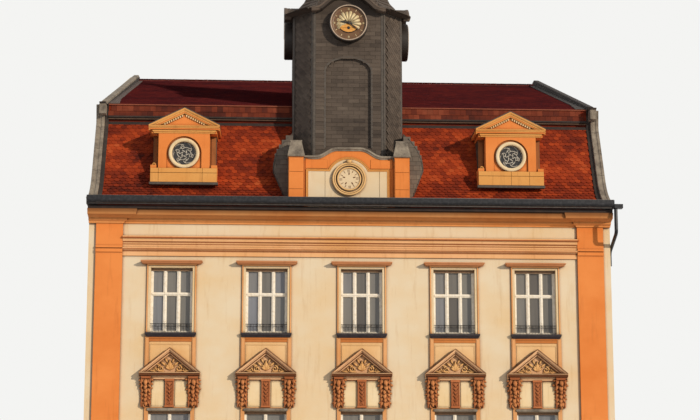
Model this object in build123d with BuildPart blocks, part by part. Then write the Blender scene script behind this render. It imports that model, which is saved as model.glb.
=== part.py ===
import os

from build123d import *

# Town hall in a row: walls, mansard roof, dormers, attic gable and clock tower.
# Origin: centre of the footprint at ground level, X to the right, Y into the house, Z up.

# Footprint and walls
house_width = 14800
house_depth = 21000
party_wall_thickness = 300
front_wall_thickness = 450
ground_slab_thickness = 150
floor_slab_thickness = 250
first_floor_level = 4250
second_floor_level = 8450
eave_level = 12820

# Window bays, the same in every storey, as shares of half the house's width
bay_shares = (-0.6828, -0.323, 0.0385, 0.3926, 0.7047)
portal_bay_index = 2
window_width = 1170
reveal_depth = 130
frame_depth = 70
frame_bar = 50
mullion_width = 64
glass_thickness = 24
sill_thickness = 120
sill_overhang = 110
sill_projection = 110
# Lights side by side in the windows of each storey
light_counts = (2, 2, 3)

# Opening heights: sill top and head of each row
second_sill_level = 9290
second_head_level = 11130
second_transom_level = 10400
first_sill_level = 5050
first_head_level = 7110
first_transom_level = 6350
ground_sill_level = 1250
ground_head_level = 3300
ground_transom_level = 2550

# Doors
portal_width = 1800
portal_spring_level = 2450
portal_surround_width = 300
portal_surround_depth = 160
back_door_width = 1200
back_door_head_level = 2400
door_frame_bar = 90
door_leaf_thickness = 60
door_leaf_gap = 6
doorstep_depth = 420

# Pilasters and horizontal bands of the front
pilaster_width = 750
pilaster_projection = 70
pilaster_margin = 210
capital_projection = 30
astragal_level = 11600
astragal_height = 90
collar_level = 11710
collar_height = 60
plinth_height = 700
plinth_projection = 90
string_course_level = 4050
frieze_level = 12020
cornice_level = 12380
back_eave_foot = 150
back_eave_board = 110
eave_overhang = 520
# Steps of each moulding from the foot up: distance out of the wall and height above the foot
cornice_steps = (
    (30, 0),
    (40, 40),
    (110, 75),
    (125, 130),
    (260, 165),
    (385, 190),
    (395, 250),
    (420, 300),
    (420, 340),
    (330, 340),
)
architrave_height = 560
architrave_steps = (
    (40, 0),
    (40, 150),
    (95, 180),
    (95, 235),
    (50, 250),
    (50, 400),
    (80, 412),
    (80, 495),
    (120, 520),
    (120, 560),
)
string_course_steps = ((50, 0), (60, 140), (130, 190), (130, 250), (0, 290))

# Surrounds of the windows
surround_width = 105
surround_depth = 40
hood_width = 1720
hood_height = 90
hood_projection = 190
hood_gap = 90
hood_splay = 60
apron_strip = 110
apron_band = 130
apron_relief = 25
pediment_width = 1690
pediment_base_level = 8085
pediment_bed_height = 80
pediment_height = 760
pediment_projection = 260
pediment_rim = 115
tympanum_thickness = 60
console_width = 270
console_height = 870
console_spacing = 1300
console_depth = 200
keystone_width = 340
keystone_height = 400
keystone_side_angle = 80

# Roof, given by depth behind the front face and by height
roof_thickness = 200
eave_edge = 50
bell_depth = 670
bell_level = 13850
break_depth = 1430
break_level = 15620
band_foot_level = 15880
band_splay = 20
band_level = 16200
band_depth = 1350
ridge_level = 19600
parapet_rise = 320
parapet_foot = 350
parapet_toe_height = 150
coping_overhang = 45
coping_thickness = 80
ridge_cap_width = 360
ridge_cap_thickness = 60

# Gutters and downpipes
gutter_radius = 95
gutter_wall = 8
gutter_gap = 20
gutter_side = 110
pipe_radius = 50
hopper_size = 240
pipe_bend_drop = 700
pipe_return_drop = 400
pipe_foot_drop = 1500
pipe_bend_radius = 150
pipe_stand_off = 300

# Centre line of the tower, the gable and the dormers
axis_x = -80

# Dormers
dormer_spacing = 9420
dormer_front = 300
dormer_base_width = 1900
dormer_base_level = 13650
dormer_base_height = 410
dormer_ear_width = 170
dormer_ear_height = 90
dormer_width = 1460
dormer_body_height = 1020
dormer_pilaster_depth = 50
dormer_cornice_height = 215
dormer_cornice_step = 45
dormer_pediment_width = 2030
dormer_pediment_height = 505
dormer_pediment_overhang = 90
dormer_pediment_rim = 105
dormer_tympanum_depth = 70
dormer_housing_width = 1780
dormer_housing_setback = 330
dormer_wall = 140
dormer_depth = 1400
oculus_radius = 345
oculus_ring_width = 95
oculus_ring_depth = 60
oculus_rise = 440
dormer_arch_radius = 500

# Tower
tower_front = 250
tower_half = 1590
tower_chamfer = 570
tower_wall = 300
tower_eave_level = 18800
panel_half_width = 660
panel_depth = 90
panel_foot_level = 14700
panel_spring_level = 17000
panel_crown_level = 17390
flank_reach = 580
flank_foot_level = 13100
flank_tip_level = 14050
flank_shoulder_level = 15000
flank_depth = 1500

# Tower roof: half width and height of each ring of the bell-shaped roof
roof_rings = ((1860, 0), (1470, 240), (1260, 520), (1030, 1100), (700, 1800), (440, 2350), (290, 2750))
roof_shell = 110
hood_half_width = 1080
hood_shoulder = 640
hood_shoulder_rise = 230
hood_rise = 560
hood_length = 900

# Finial: radius and height of each step above the tower's spire
finial_steps = ((230, 0), (260, 60), (90, 160), (70, 300), (220, 500), (50, 690), (35, 1100), (12, 1900))

# Clocks
clock_level = 18385
dial_radius = 500
dial_thickness = 40
bezel_width = 95
bezel_depth = 270
minute_hand_length = 400
minute_hand_width = 16
hour_hand_length = 270
hour_hand_width = 22
hand_thickness = 6
hand_gap = 7
hand_hub = 36
arbor_radius = 12
tube_wall = 8
running_clearance = 0.5
minute_angle = 126
hour_angle = 280.5

# Attic gable
pier_inner = 1290
pier_outer = 1720
pier_top_level = 14350
pier_front = -310
gable_front = -160
gable_shoulder_level = 14310
gable_crown_level = 14560
gable_crown_half = 300
gable_swell_half = 1000
gable_coping_height = 50
gable_coping_overhang = 60
cap_height = 440
cap_overhang = 30
cap_taper = 12
medallion_level = 13680
medallion_radius = 465
medallion_depth = 90
medallion_rim = 70
medallion_channel = 60

# Values worked out from the sizes above
front_y = -house_depth / 2
back_y = house_depth / 2
wall_half = house_width / 2
bay_centres = [share * wall_half for share in bay_shares]
room_half = wall_half - party_wall_thickness
wall_top = eave_level - floor_slab_thickness
pilaster_outer_edge = wall_half - pilaster_margin
band_half = pilaster_outer_edge - pilaster_width
portal_x = bay_centres[portal_bay_index]
tower_y = front_y + tower_front + tower_half
ridge_depth = house_depth / 2
oculus_level = dormer_base_level + dormer_base_height + oculus_rise
window_sill_levels = (ground_sill_level, first_sill_level, second_sill_level)
window_head_levels = (ground_head_level, first_head_level, second_head_level)
window_transom_levels = (ground_transom_level, first_transom_level, second_transom_level)
upper_slope_run = ridge_depth - band_depth
upper_slope_rise = ridge_level - band_level

# Planes that face out of the house, with local x to the viewer's right and local y up
facade = Plane(origin=(0, front_y, 0), x_dir=(1, 0, 0), z_dir=(0, -1, 0))
rear = Plane(origin=(0, back_y, 0), x_dir=(-1, 0, 0), z_dir=(0, 1, 0))
# Section across the house: local x is Y, local y is Z
section = Plane.YZ

os.makedirs("parts", exist_ok=True)


def save(part, label):
    part.label = label
    export_step(part, f"parts/{label}.step")


# Centres of the windows of one row on one face, in that face's own plane
def row_bays(face, row):
    side = 1 if face is facade else -1
    return [side * x for i, x in enumerate(bay_centres) if row > 0 or i != portal_bay_index]


def deep(depth):
    return front_y + depth


# Floors

with BuildPart() as ground_floor_slab:
    with BuildSketch(Plane.XY):
        Rectangle(2 * room_half, house_depth - 2 * front_wall_thickness)
    extrude(amount=ground_slab_thickness)

with BuildPart() as first_floor_slab:
    with BuildSketch(Plane.XY.offset(first_floor_level)):
        Rectangle(2 * room_half, house_depth - 2 * front_wall_thickness)
    extrude(amount=-floor_slab_thickness)

with BuildPart() as second_floor_slab:
    with BuildSketch(Plane.XY.offset(second_floor_level)):
        Rectangle(2 * room_half, house_depth - 2 * front_wall_thickness)
    extrude(amount=-floor_slab_thickness)

# The attic floor lies over the front and back walls and carries the roof and the tower
with BuildPart() as attic_floor_slab:
    with BuildSketch(Plane.XY.offset(eave_level)):
        Rectangle(2 * room_half, house_depth)
    extrude(amount=-floor_slab_thickness)


# Walls

# Outlines of the three rows of window openings of a wall, sills included
def window_openings(face):
    for row in range(3):
        height = window_head_levels[row] - window_sill_levels[row] + sill_thickness
        middle = window_head_levels[row] - height / 2
        with Locations(*[(x, middle) for x in row_bays(face, row)]):
            Rectangle(window_width, height)


with BuildPart() as front_wall:
    with BuildSketch(facade):
        with Locations((0, wall_top / 2)):
            Rectangle(2 * room_half, wall_top)
    extrude(amount=-front_wall_thickness)
    with BuildSketch(facade):
        window_openings(facade)
        with Locations((portal_x, portal_spring_level / 2)):
            Rectangle(portal_width, portal_spring_level)
        with Locations((portal_x, portal_spring_level)):
            Circle(portal_width / 2)
    extrude(amount=-front_wall_thickness, mode=Mode.SUBTRACT)

with BuildPart() as back_wall:
    with BuildSketch(rear):
        with Locations((0, wall_top / 2)):
            Rectangle(2 * room_half, wall_top)
    extrude(amount=-front_wall_thickness)
    with BuildSketch(rear):
        window_openings(rear)
        with Locations((-portal_x, back_door_head_level / 2)):
            Rectangle(back_door_width, back_door_head_level)
    extrude(amount=-front_wall_thickness, mode=Mode.SUBTRACT)


# Half of the party wall's outline above the eave, raised over the roof slopes
def parapet_points():
    slope_run = break_depth - bell_depth
    slope_rise = break_level - bell_level
    slope_length = (slope_run**2 + slope_rise**2) ** 0.5
    lower_shift = parapet_rise * slope_length / slope_rise
    upper_length = (upper_slope_run**2 + upper_slope_rise**2) ** 0.5
    upper_shift = parapet_rise * upper_length / upper_slope_run
    # Where the raised lower slope meets the raised upper slope
    pitch = upper_slope_rise / upper_slope_run
    lean = slope_run / slope_rise
    start = bell_depth - lower_shift
    meet_z = band_level + upper_shift + pitch * (start - lean * bell_level - band_depth)
    meet_z = meet_z / (1 - pitch * lean)
    meet_d = start + lean * (meet_z - bell_level)
    return [(start, bell_level), (meet_d, meet_z), (ridge_depth, ridge_level + upper_shift)]


bell, knee, apex = parapet_points()
parapet_toe = eave_level + parapet_toe_height

# Outline of a whole party wall, local x is Y and local y is Z
with BuildSketch() as party_wall_outline:
    with BuildLine():
        Polyline(
            (0, 0),
            (front_y, 0),
            (front_y, eave_level),
            (deep(-parapet_foot), eave_level),
            (deep(-parapet_foot), parapet_toe),
        )
        TangentArc(
            (deep(bell[0]), bell[1]),
            (deep(-parapet_foot), parapet_toe),
            tangent=(bell[0] - knee[0], bell[1] - knee[1]),
        )
        Polyline((deep(bell[0]), bell[1]), (deep(knee[0]), knee[1]), (0, apex[1]))
        mirror(about=Plane.YZ)
    make_face()


with BuildPart() as left_party_wall:
    with BuildSketch(section.offset(-wall_half)):
        add(party_wall_outline.sketch)
    extrude(amount=party_wall_thickness)

with BuildPart() as right_party_wall:
    with BuildSketch(section.offset(room_half)):
        add(party_wall_outline.sketch)
    extrude(amount=party_wall_thickness)

# Stone copings over both parapets, a little wider than the walls
with BuildPart() as party_wall_copings:
    for side in (-1, 1):
        middle = side * (wall_half + room_half) / 2
        coping_width = party_wall_thickness + 2 * coping_overhang
        with BuildSketch(section.offset(middle)):
            add(party_wall_outline.sketch)
            offset(amount=coping_thickness, kind=Kind.INTERSECTION)
            add(party_wall_outline.sketch, mode=Mode.SUBTRACT)
            Rectangle(2 * house_depth, 2 * parapet_toe, mode=Mode.SUBTRACT)
        extrude(amount=coping_width / 2, both=True)


# Mansard roof

# Lower slope with its bell-cast foot, between the party walls
with BuildPart() as plain_lower_roof:
    slope_ratio = (break_depth - bell_depth) / (break_level - bell_level)
    inner_shift = roof_thickness * (1 + slope_ratio**2) ** 0.5
    with BuildSketch(section.offset(-room_half)):
        with BuildLine():
            eave_tip = (deep(-eave_overhang), eave_level + eave_edge)
            bell_point = (deep(bell_depth), bell_level)
            TangentArc(
                bell_point,
                eave_tip,
                tangent=(bell_depth - break_depth, bell_level - break_level),
            )
            Polyline(
                bell_point,
                (deep(break_depth), break_level),
                (deep(break_depth + inner_shift), break_level),
                (deep(break_depth + inner_shift - slope_ratio * (break_level - eave_level)), eave_level),
                (deep(-eave_overhang), eave_level),
                eave_tip,
            )
        make_face()
    extrude(amount=2 * room_half)

# Everything behind the outer face of the lower slope
with BuildPart() as lower_roof_mass:
    with BuildSketch(section.offset(-room_half)):
        with BuildLine():
            TangentArc(
                bell_point,
                eave_tip,
                tangent=(bell_depth - break_depth, bell_level - break_level),
            )
            Polyline(
                bell_point,
                (deep(break_depth), break_level),
                (deep(ridge_depth), ridge_level),
                (deep(ridge_depth), eave_level - floor_slab_thickness),
                (deep(-eave_overhang), eave_level - floor_slab_thickness),
                eave_tip,
            )
        make_face()
    extrude(amount=2 * room_half)

with BuildPart() as plain_upper_roof:
    pitch = upper_slope_rise / upper_slope_run
    upper_drop = roof_thickness * (1 + pitch**2) ** 0.5
    with BuildSketch(section.offset(-room_half)):
        with BuildLine():
            Polyline(
                (deep(band_depth), band_level),
                (0, ridge_level),
                (0, ridge_level - upper_drop),
                (deep(band_depth + upper_drop / pitch), band_level),
                (deep(band_depth), band_level),
            )
        make_face()
    extrude(amount=2 * room_half)

# Outline of the tower, a square with cut corners
with BuildPart() as tower_prism:
    with BuildSketch(Plane.XY.offset(eave_level)):
        with Locations((axis_x, tower_y)):
            Rectangle(2 * tower_half, 2 * tower_half)
        chamfer(vertices(), length=tower_chamfer)
    extrude(amount=tower_eave_level - eave_level)

# Room that the gable and its piers take out of the roof's foot
with BuildPart() as gable_room:
    with BuildSketch(facade.offset(-tower_front)):
        with Locations((axis_x, pier_top_level / 2 + eave_level / 2)):
            Rectangle(2 * pier_outer, pier_top_level - eave_level)
    extrude(amount=tower_front + eave_overhang)

# Openings behind the dormers, through the lower slope
with BuildPart() as dormer_room:
    with BuildSketch(facade.offset(-dormer_front - dormer_wall)):
        with Locations((axis_x, dormer_base_level + dormer_base_height + dormer_body_height / 2)):
            with GridLocations(dormer_spacing, 0, 2, 1):
                Rectangle(dormer_width - 2 * dormer_wall, dormer_body_height - dormer_wall)
    extrude(amount=-dormer_depth)

with BuildPart() as lower_roof_front:
    add(plain_lower_roof.part)
    add(tower_prism.part, mode=Mode.SUBTRACT)
    add(gable_room.part, mode=Mode.SUBTRACT)
    add(dormer_room.part, mode=Mode.SUBTRACT)

with BuildPart() as lower_roof_back:
    add(plain_lower_roof.part)
    mirror(about=Plane.XZ, mode=Mode.REPLACE)

with BuildPart() as upper_roof_front:
    add(plain_upper_roof.part)
    add(tower_prism.part, mode=Mode.SUBTRACT)

with BuildPart() as upper_roof_back:
    add(plain_upper_roof.part)
    mirror(about=Plane.XZ, mode=Mode.REPLACE)

# Fascia between the slopes, front and back: a set-back board and a tile-hung band over it
with BuildPart() as break_bands:
    with BuildSketch(section.offset(-room_half)):
        for side in (1, -1):
            with BuildLine():
                Polyline(
                    (side * deep(break_depth), break_level),
                    (side * deep(break_depth), band_foot_level - band_splay),
                    (side * deep(band_depth), band_foot_level),
                    (side * deep(band_depth), band_level),
                    (side * deep(break_depth + inner_shift), band_level),
                    (side * deep(break_depth + inner_shift), break_level),
                    (side * deep(break_depth), break_level),
                )
            make_face()
    extrude(amount=2 * room_half)
    add(tower_prism.part, mode=Mode.SUBTRACT)

with BuildPart() as ridge_cap:
    cap_drop = ridge_cap_width / 2 * pitch
    with BuildSketch(section.offset(-room_half)):
        with BuildLine():
            Polyline(
                (-ridge_cap_width / 2, ridge_level - cap_drop),
                (-ridge_cap_width / 2, ridge_level - cap_drop + ridge_cap_thickness),
                (0, ridge_level + ridge_cap_thickness),
                (ridge_cap_width / 2, ridge_level - cap_drop + ridge_cap_thickness),
                (ridge_cap_width / 2, ridge_level - cap_drop),
                (0, ridge_level),
                (-ridge_cap_width / 2, ridge_level - cap_drop),
            )
        make_face()
    extrude(amount=2 * room_half)


# Mouldings that run along the front

# Section of a moulding at the left end of the front, local x out of the wall
def moulding_plane():
    return Plane(
        origin=(-wall_half, front_y - pilaster_projection, 0), x_dir=(0, -1, 0), z_dir=(-1, 0, 0)
    )


with BuildPart() as cornices:
    with BuildLine() as front_run:
        Polyline(
            (-wall_half, front_y - pilaster_projection),
            (-band_half, front_y - pilaster_projection),
            (-band_half, front_y),
            (band_half, front_y),
            (band_half, front_y - pilaster_projection),
            (wall_half, front_y - pilaster_projection),
        )
    with BuildSketch(moulding_plane()):
        with BuildLine():
            Polyline(
                (-pilaster_projection, cornice_level),
                *[(out, cornice_level + up) for out, up in cornice_steps],
                (cornice_steps[-1][0], eave_level),
                (-pilaster_projection, eave_level),
                close=True,
            )
        make_face()
    sweep(path=front_run.wires()[0], transition=Transition.RIGHT)
    # The moulding is cut off at the wall's own face
    with BuildSketch(facade.offset(-front_wall_thickness)):
        with Locations((0, eave_level)):
            Rectangle(4 * wall_half, eave_level)
    extrude(amount=front_wall_thickness, mode=Mode.SUBTRACT)
    # Plain boxed eave of the back
    with BuildSketch(rear):
        with Locations((0, (eave_level + cornice_level) / 2)):
            Rectangle(2 * wall_half, eave_level - cornice_level)
    extrude(amount=back_eave_foot)
    with BuildSketch(rear):
        with Locations((0, eave_level - back_eave_board / 2)):
            Rectangle(2 * wall_half, back_eave_board)
    extrude(amount=eave_overhang)

with BuildPart() as architrave:
    architrave_foot = frieze_level - architrave_height
    with BuildSketch(section.offset(-band_half)):
        with BuildLine():
            Polyline(
                (deep(0), architrave_foot),
                *[(deep(-out), architrave_foot + up) for out, up in architrave_steps],
                (deep(0), frieze_level),
                close=True,
            )
        make_face()
    extrude(amount=2 * band_half)

with BuildPart() as pilasters:
    pilaster_middle = pilaster_outer_edge - pilaster_width / 2
    with BuildSketch(facade):
        with Locations((0, (plinth_height + cornice_level) / 2)):
            with GridLocations(2 * pilaster_middle, 0, 2, 1):
                Rectangle(pilaster_width, cornice_level - plinth_height)
    extrude(amount=pilaster_projection)
    # Two rings of the capital
    with BuildSketch(facade):
        with Locations((0, collar_level)):
            with GridLocations(2 * pilaster_middle, 0, 2, 1):
                Rectangle(pilaster_width, collar_height)
        with Locations((0, astragal_level)):
            with GridLocations(2 * pilaster_middle, 0, 2, 1):
                Rectangle(pilaster_width, astragal_height)
    extrude(amount=pilaster_projection + capital_projection)

with BuildPart() as plinths:
    doorway_edge = portal_width / 2 + portal_surround_width
    left_end = portal_x - doorway_edge
    right_end = portal_x + doorway_edge
    with BuildSketch(facade):
        with Locations(((left_end - wall_half) / 2, plinth_height / 2)):
            Rectangle(left_end + wall_half, plinth_height)
        with Locations(((right_end + wall_half) / 2, plinth_height / 2)):
            Rectangle(wall_half - right_end, plinth_height)
    extrude(amount=plinth_projection)

with BuildPart() as string_course:
    with BuildSketch(section.offset(-band_half)):
        with BuildLine():
            Polyline(
                (deep(0), string_course_level),
                *[(deep(-out), string_course_level + up) for out, up in string_course_steps],
                close=True,
            )
        make_face()
    extrude(amount=2 * band_half)


# Window surrounds

# Band round three sides of an opening, standing on the sill
def surround(x, sill, head):
    with Locations((x, (sill + head + surround_width) / 2)):
        Rectangle(window_width + 2 * surround_width, head + surround_width - sill)
    with Locations((x, (sill + head) / 2)):
        Rectangle(window_width, head - sill, mode=Mode.SUBTRACT)


with BuildPart() as second_floor_surrounds:
    apron_top = second_sill_level - sill_thickness
    apron_foot = pediment_base_level + pediment_bed_height
    apron_width = window_width + 2 * surround_width
    with BuildSketch(facade):
        for x in bay_centres:
            surround(x, second_sill_level, second_head_level)
        with Locations(*[(x, (apron_top + apron_foot) / 2) for x in bay_centres]):
            Rectangle(apron_width, apron_top - apron_foot)
    extrude(amount=surround_depth)
    # Raised strips down both sides of the apron and along its top
    with BuildSketch(facade):
        with Locations(*[(x, (apron_top + apron_foot) / 2) for x in bay_centres]):
            with GridLocations(apron_width - apron_strip, 0, 2, 1):
                Rectangle(apron_strip, apron_top - apron_foot)
        with Locations(*[(x, apron_top - apron_band / 2) for x in bay_centres]):
            Rectangle(apron_width, apron_band)
    extrude(amount=surround_depth + apron_relief)
    hood_level = second_head_level + hood_gap
    with BuildSketch(facade):
        with Locations(*[(x, hood_level + hood_height / 2) for x in bay_centres]):
            Trapezoid(hood_width, hood_height, hood_splay, rotation=180)
    extrude(amount=hood_projection)

with BuildPart() as first_floor_surrounds:
    with BuildSketch(facade):
        for x in bay_centres:
            surround(x, first_sill_level, first_head_level)
    extrude(amount=surround_depth)

with BuildPart() as ground_floor_surrounds:
    with BuildSketch(facade):
        for x in row_bays(facade, 0):
            surround(x, ground_sill_level, ground_head_level)
    extrude(amount=surround_depth)
    # Arched portal with its keystone
    with BuildSketch(facade):
        with Locations((portal_x, portal_spring_level / 2)):
            Rectangle(portal_width + 2 * portal_surround_width, portal_spring_level)
        with Locations((portal_x, portal_spring_level)):
            Circle(portal_width / 2 + portal_surround_width)
        with Locations((portal_x, portal_spring_level + portal_width / 2 + keystone_height / 2)):
            Trapezoid(keystone_width, keystone_height, keystone_side_angle, rotation=180)
        with Locations((portal_x, portal_spring_level / 2)):
            Rectangle(portal_width, portal_spring_level, mode=Mode.SUBTRACT)
        with Locations((portal_x, portal_spring_level)):
            Circle(portal_width / 2, mode=Mode.SUBTRACT)
    extrude(amount=portal_surround_depth)

# Pediment over each first-floor window, with the panelled block it stands on
with BuildPart() as window_pediments:
    half = pediment_width / 2
    rake = (pediment_height - pediment_bed_height) / half
    rim_height = pediment_rim * (1 + rake**2) ** 0.5
    inner_half = half - rim_height / rake
    with BuildSketch(facade):
        for x in bay_centres:
            with BuildLine():
                Polyline(
                    (x - half, pediment_base_level),
                    (x + half, pediment_base_level),
                    (x + half, pediment_base_level + pediment_bed_height),
                    (x, pediment_base_level + pediment_height),
                    (x - half, pediment_base_level + pediment_bed_height),
                    (x - half, pediment_base_level),
                )
            make_face()
    extrude(amount=pediment_projection)
    with BuildSketch(facade.offset(pediment_projection)):
        for x in bay_centres:
            with BuildLine():
                Polyline(
                    (x - inner_half, pediment_base_level + pediment_bed_height),
                    (x + inner_half, pediment_base_level + pediment_bed_height),
                    (x, pediment_base_level + pediment_height - rim_height),
                    (x - inner_half, pediment_base_level + pediment_bed_height),
                )
            make_face()
    extrude(amount=surround_depth + tympanum_thickness - pediment_projection, mode=Mode.SUBTRACT)
    panel_foot = first_head_level + surround_width
    panel_width = console_spacing - console_width
    with BuildSketch(facade):
        with Locations(*[(x, (panel_foot + pediment_base_level) / 2) for x in bay_centres]):
            Rectangle(panel_width, pediment_base_level - panel_foot)
    extrude(amount=surround_depth)
    with BuildSketch(facade):
        with Locations(*[(x, (panel_foot + pediment_base_level) / 2) for x in bay_centres]):
            Rectangle(console_width, pediment_base_level - panel_foot)
    extrude(amount=2 * surround_depth)
    # The apron above is left free round the pediment
    add(second_floor_surrounds.part, mode=Mode.SUBTRACT)

# Scrolled consoles: a bold roll at the top, a hollow under it and a small roll at the foot
with BuildPart() as window_consoles:
    console_foot = pediment_base_level - console_height
    for x in bay_centres:
        for side in (-1, 1):
            left = x + side * console_spacing / 2 - console_width / 2
            with BuildSketch(section.offset(left)):
                with BuildLine():
                    top_roll = Spline(
                        (deep(-console_depth), pediment_base_level),
                        (deep(-console_depth), pediment_base_level - console_height * 0.18),
                        (deep(-console_depth * 0.5), pediment_base_level - console_height * 0.5),
                        (deep(-console_depth * 0.42), pediment_base_level - console_height * 0.8),
                        (deep(-console_depth * 0.62), pediment_base_level - console_height * 0.92),
                        (deep(-console_depth * 0.4), console_foot),
                    )
                    Polyline(
                        top_roll @ 1,
                        (deep(0), console_foot),
                        (deep(0), pediment_base_level),
                        top_roll @ 0,
                    )
                make_face()
            extrude(amount=console_width)
    add(first_floor_surrounds.part, mode=Mode.SUBTRACT)

# Sills: a tongue in the opening and a nosing in front of the wall
with BuildPart() as window_sills:
    for face in (facade, rear):
        for row in range(3):
            level = window_sill_levels[row] - sill_thickness / 2
            with BuildSketch(face.offset(-reveal_depth - frame_depth)):
                with Locations(*[(x, level) for x in row_bays(face, row)]):
                    Rectangle(window_width, sill_thickness)
            extrude(amount=reveal_depth + frame_depth)
            with BuildSketch(face):
                with Locations(*[(x, level) for x in row_bays(face, row)]):
                    Rectangle(window_width + 2 * sill_overhang, sill_thickness)
            extrude(amount=sill_projection)


# Window frames, with mullions and a transom, and their glass
def window_lights(face, row):
    sill = window_sill_levels[row]
    head = window_head_levels[row]
    transom = window_transom_levels[row]
    count = light_counts[row]
    light_width = (window_width - 2 * frame_bar - (count - 1) * mullion_width) / count
    with Locations(*[(x, (sill + head) / 2) for x in row_bays(face, row)]):
        Rectangle(window_width, head - sill)
    below = (sill + frame_bar, transom - mullion_width / 2)
    above = (transom + mullion_width / 2, head - frame_bar)
    for low, high in (below, above):
        with Locations(*[(x, (low + high) / 2) for x in row_bays(face, row)]):
            with GridLocations(light_width + mullion_width, 0, count, 1):
                Rectangle(light_width, high - low, mode=Mode.SUBTRACT)


with BuildPart() as window_frames:
    for face in (facade, rear):
        for row in range(3):
            with BuildSketch(face.offset(-reveal_depth)):
                window_lights(face, row)
            extrude(amount=-frame_depth)

with BuildPart() as window_glass:
    for face in (facade, rear):
        for row in range(3):
            height = window_head_levels[row] - window_sill_levels[row]
            middle = (window_head_levels[row] + window_sill_levels[row]) / 2
            with BuildSketch(face.offset(-reveal_depth - frame_depth)):
                with Locations(*[(x, middle) for x in row_bays(face, row)]):
                    Rectangle(window_width - frame_bar, height - frame_bar)
            extrude(amount=-glass_thickness)


# Doors, both shut

with BuildPart() as door_frames:
    with BuildSketch(facade.offset(-reveal_depth)):
        with Locations((portal_x, portal_spring_level / 2)):
            Rectangle(portal_width, portal_spring_level)
        with Locations((portal_x, portal_spring_level)):
            Circle(portal_width / 2)
        with Locations((portal_x, (portal_spring_level + ground_slab_thickness) / 2)):
            Rectangle(
                portal_width - 2 * door_frame_bar,
                portal_spring_level - ground_slab_thickness,
                mode=Mode.SUBTRACT,
            )
    extrude(amount=-frame_depth)
    with BuildSketch(rear.offset(-reveal_depth)):
        with Locations((-portal_x, back_door_head_level / 2)):
            Rectangle(back_door_width, back_door_head_level)
        low = ground_slab_thickness
        high = back_door_head_level - door_frame_bar
        with Locations((-portal_x, (low + high) / 2)):
            Rectangle(back_door_width - 2 * door_frame_bar, high - low, mode=Mode.SUBTRACT)
    extrude(amount=-frame_depth)

with BuildPart() as door_leaves:
    leaf_width = portal_width / 2 - door_frame_bar - door_leaf_gap / 2
    leaf_height = portal_spring_level - ground_slab_thickness
    with BuildSketch(facade.offset(-reveal_depth)):
        with Locations((portal_x, (portal_spring_level + ground_slab_thickness) / 2)):
            with GridLocations(leaf_width + door_leaf_gap, 0, 2, 1):
                Rectangle(leaf_width, leaf_height)
    extrude(amount=-door_leaf_thickness)
    with BuildSketch(rear.offset(-reveal_depth)):
        with Locations((-portal_x, (low + high) / 2)):
            Rectangle(back_door_width - 2 * door_frame_bar, high - low)
    extrude(amount=-door_leaf_thickness)

with BuildPart() as doorsteps:
    with BuildSketch(facade):
        with Locations((portal_x, ground_slab_thickness / 2)):
            Rectangle(portal_width, ground_slab_thickness)
    extrude(amount=doorstep_depth)
    with BuildSketch(rear):
        with Locations((-portal_x, ground_slab_thickness / 2)):
            Rectangle(back_door_width, ground_slab_thickness)
    extrude(amount=doorstep_depth)


# Dormers

dormer_body_level = dormer_base_level + dormer_base_height
dormer_cornice_level = dormer_body_level + dormer_body_height
dormer_gable_level = dormer_cornice_level + dormer_cornice_height
dormer_plane = facade.offset(-dormer_front)
dormer_centres = (axis_x - dormer_spacing / 2, axis_x + dormer_spacing / 2)

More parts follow.
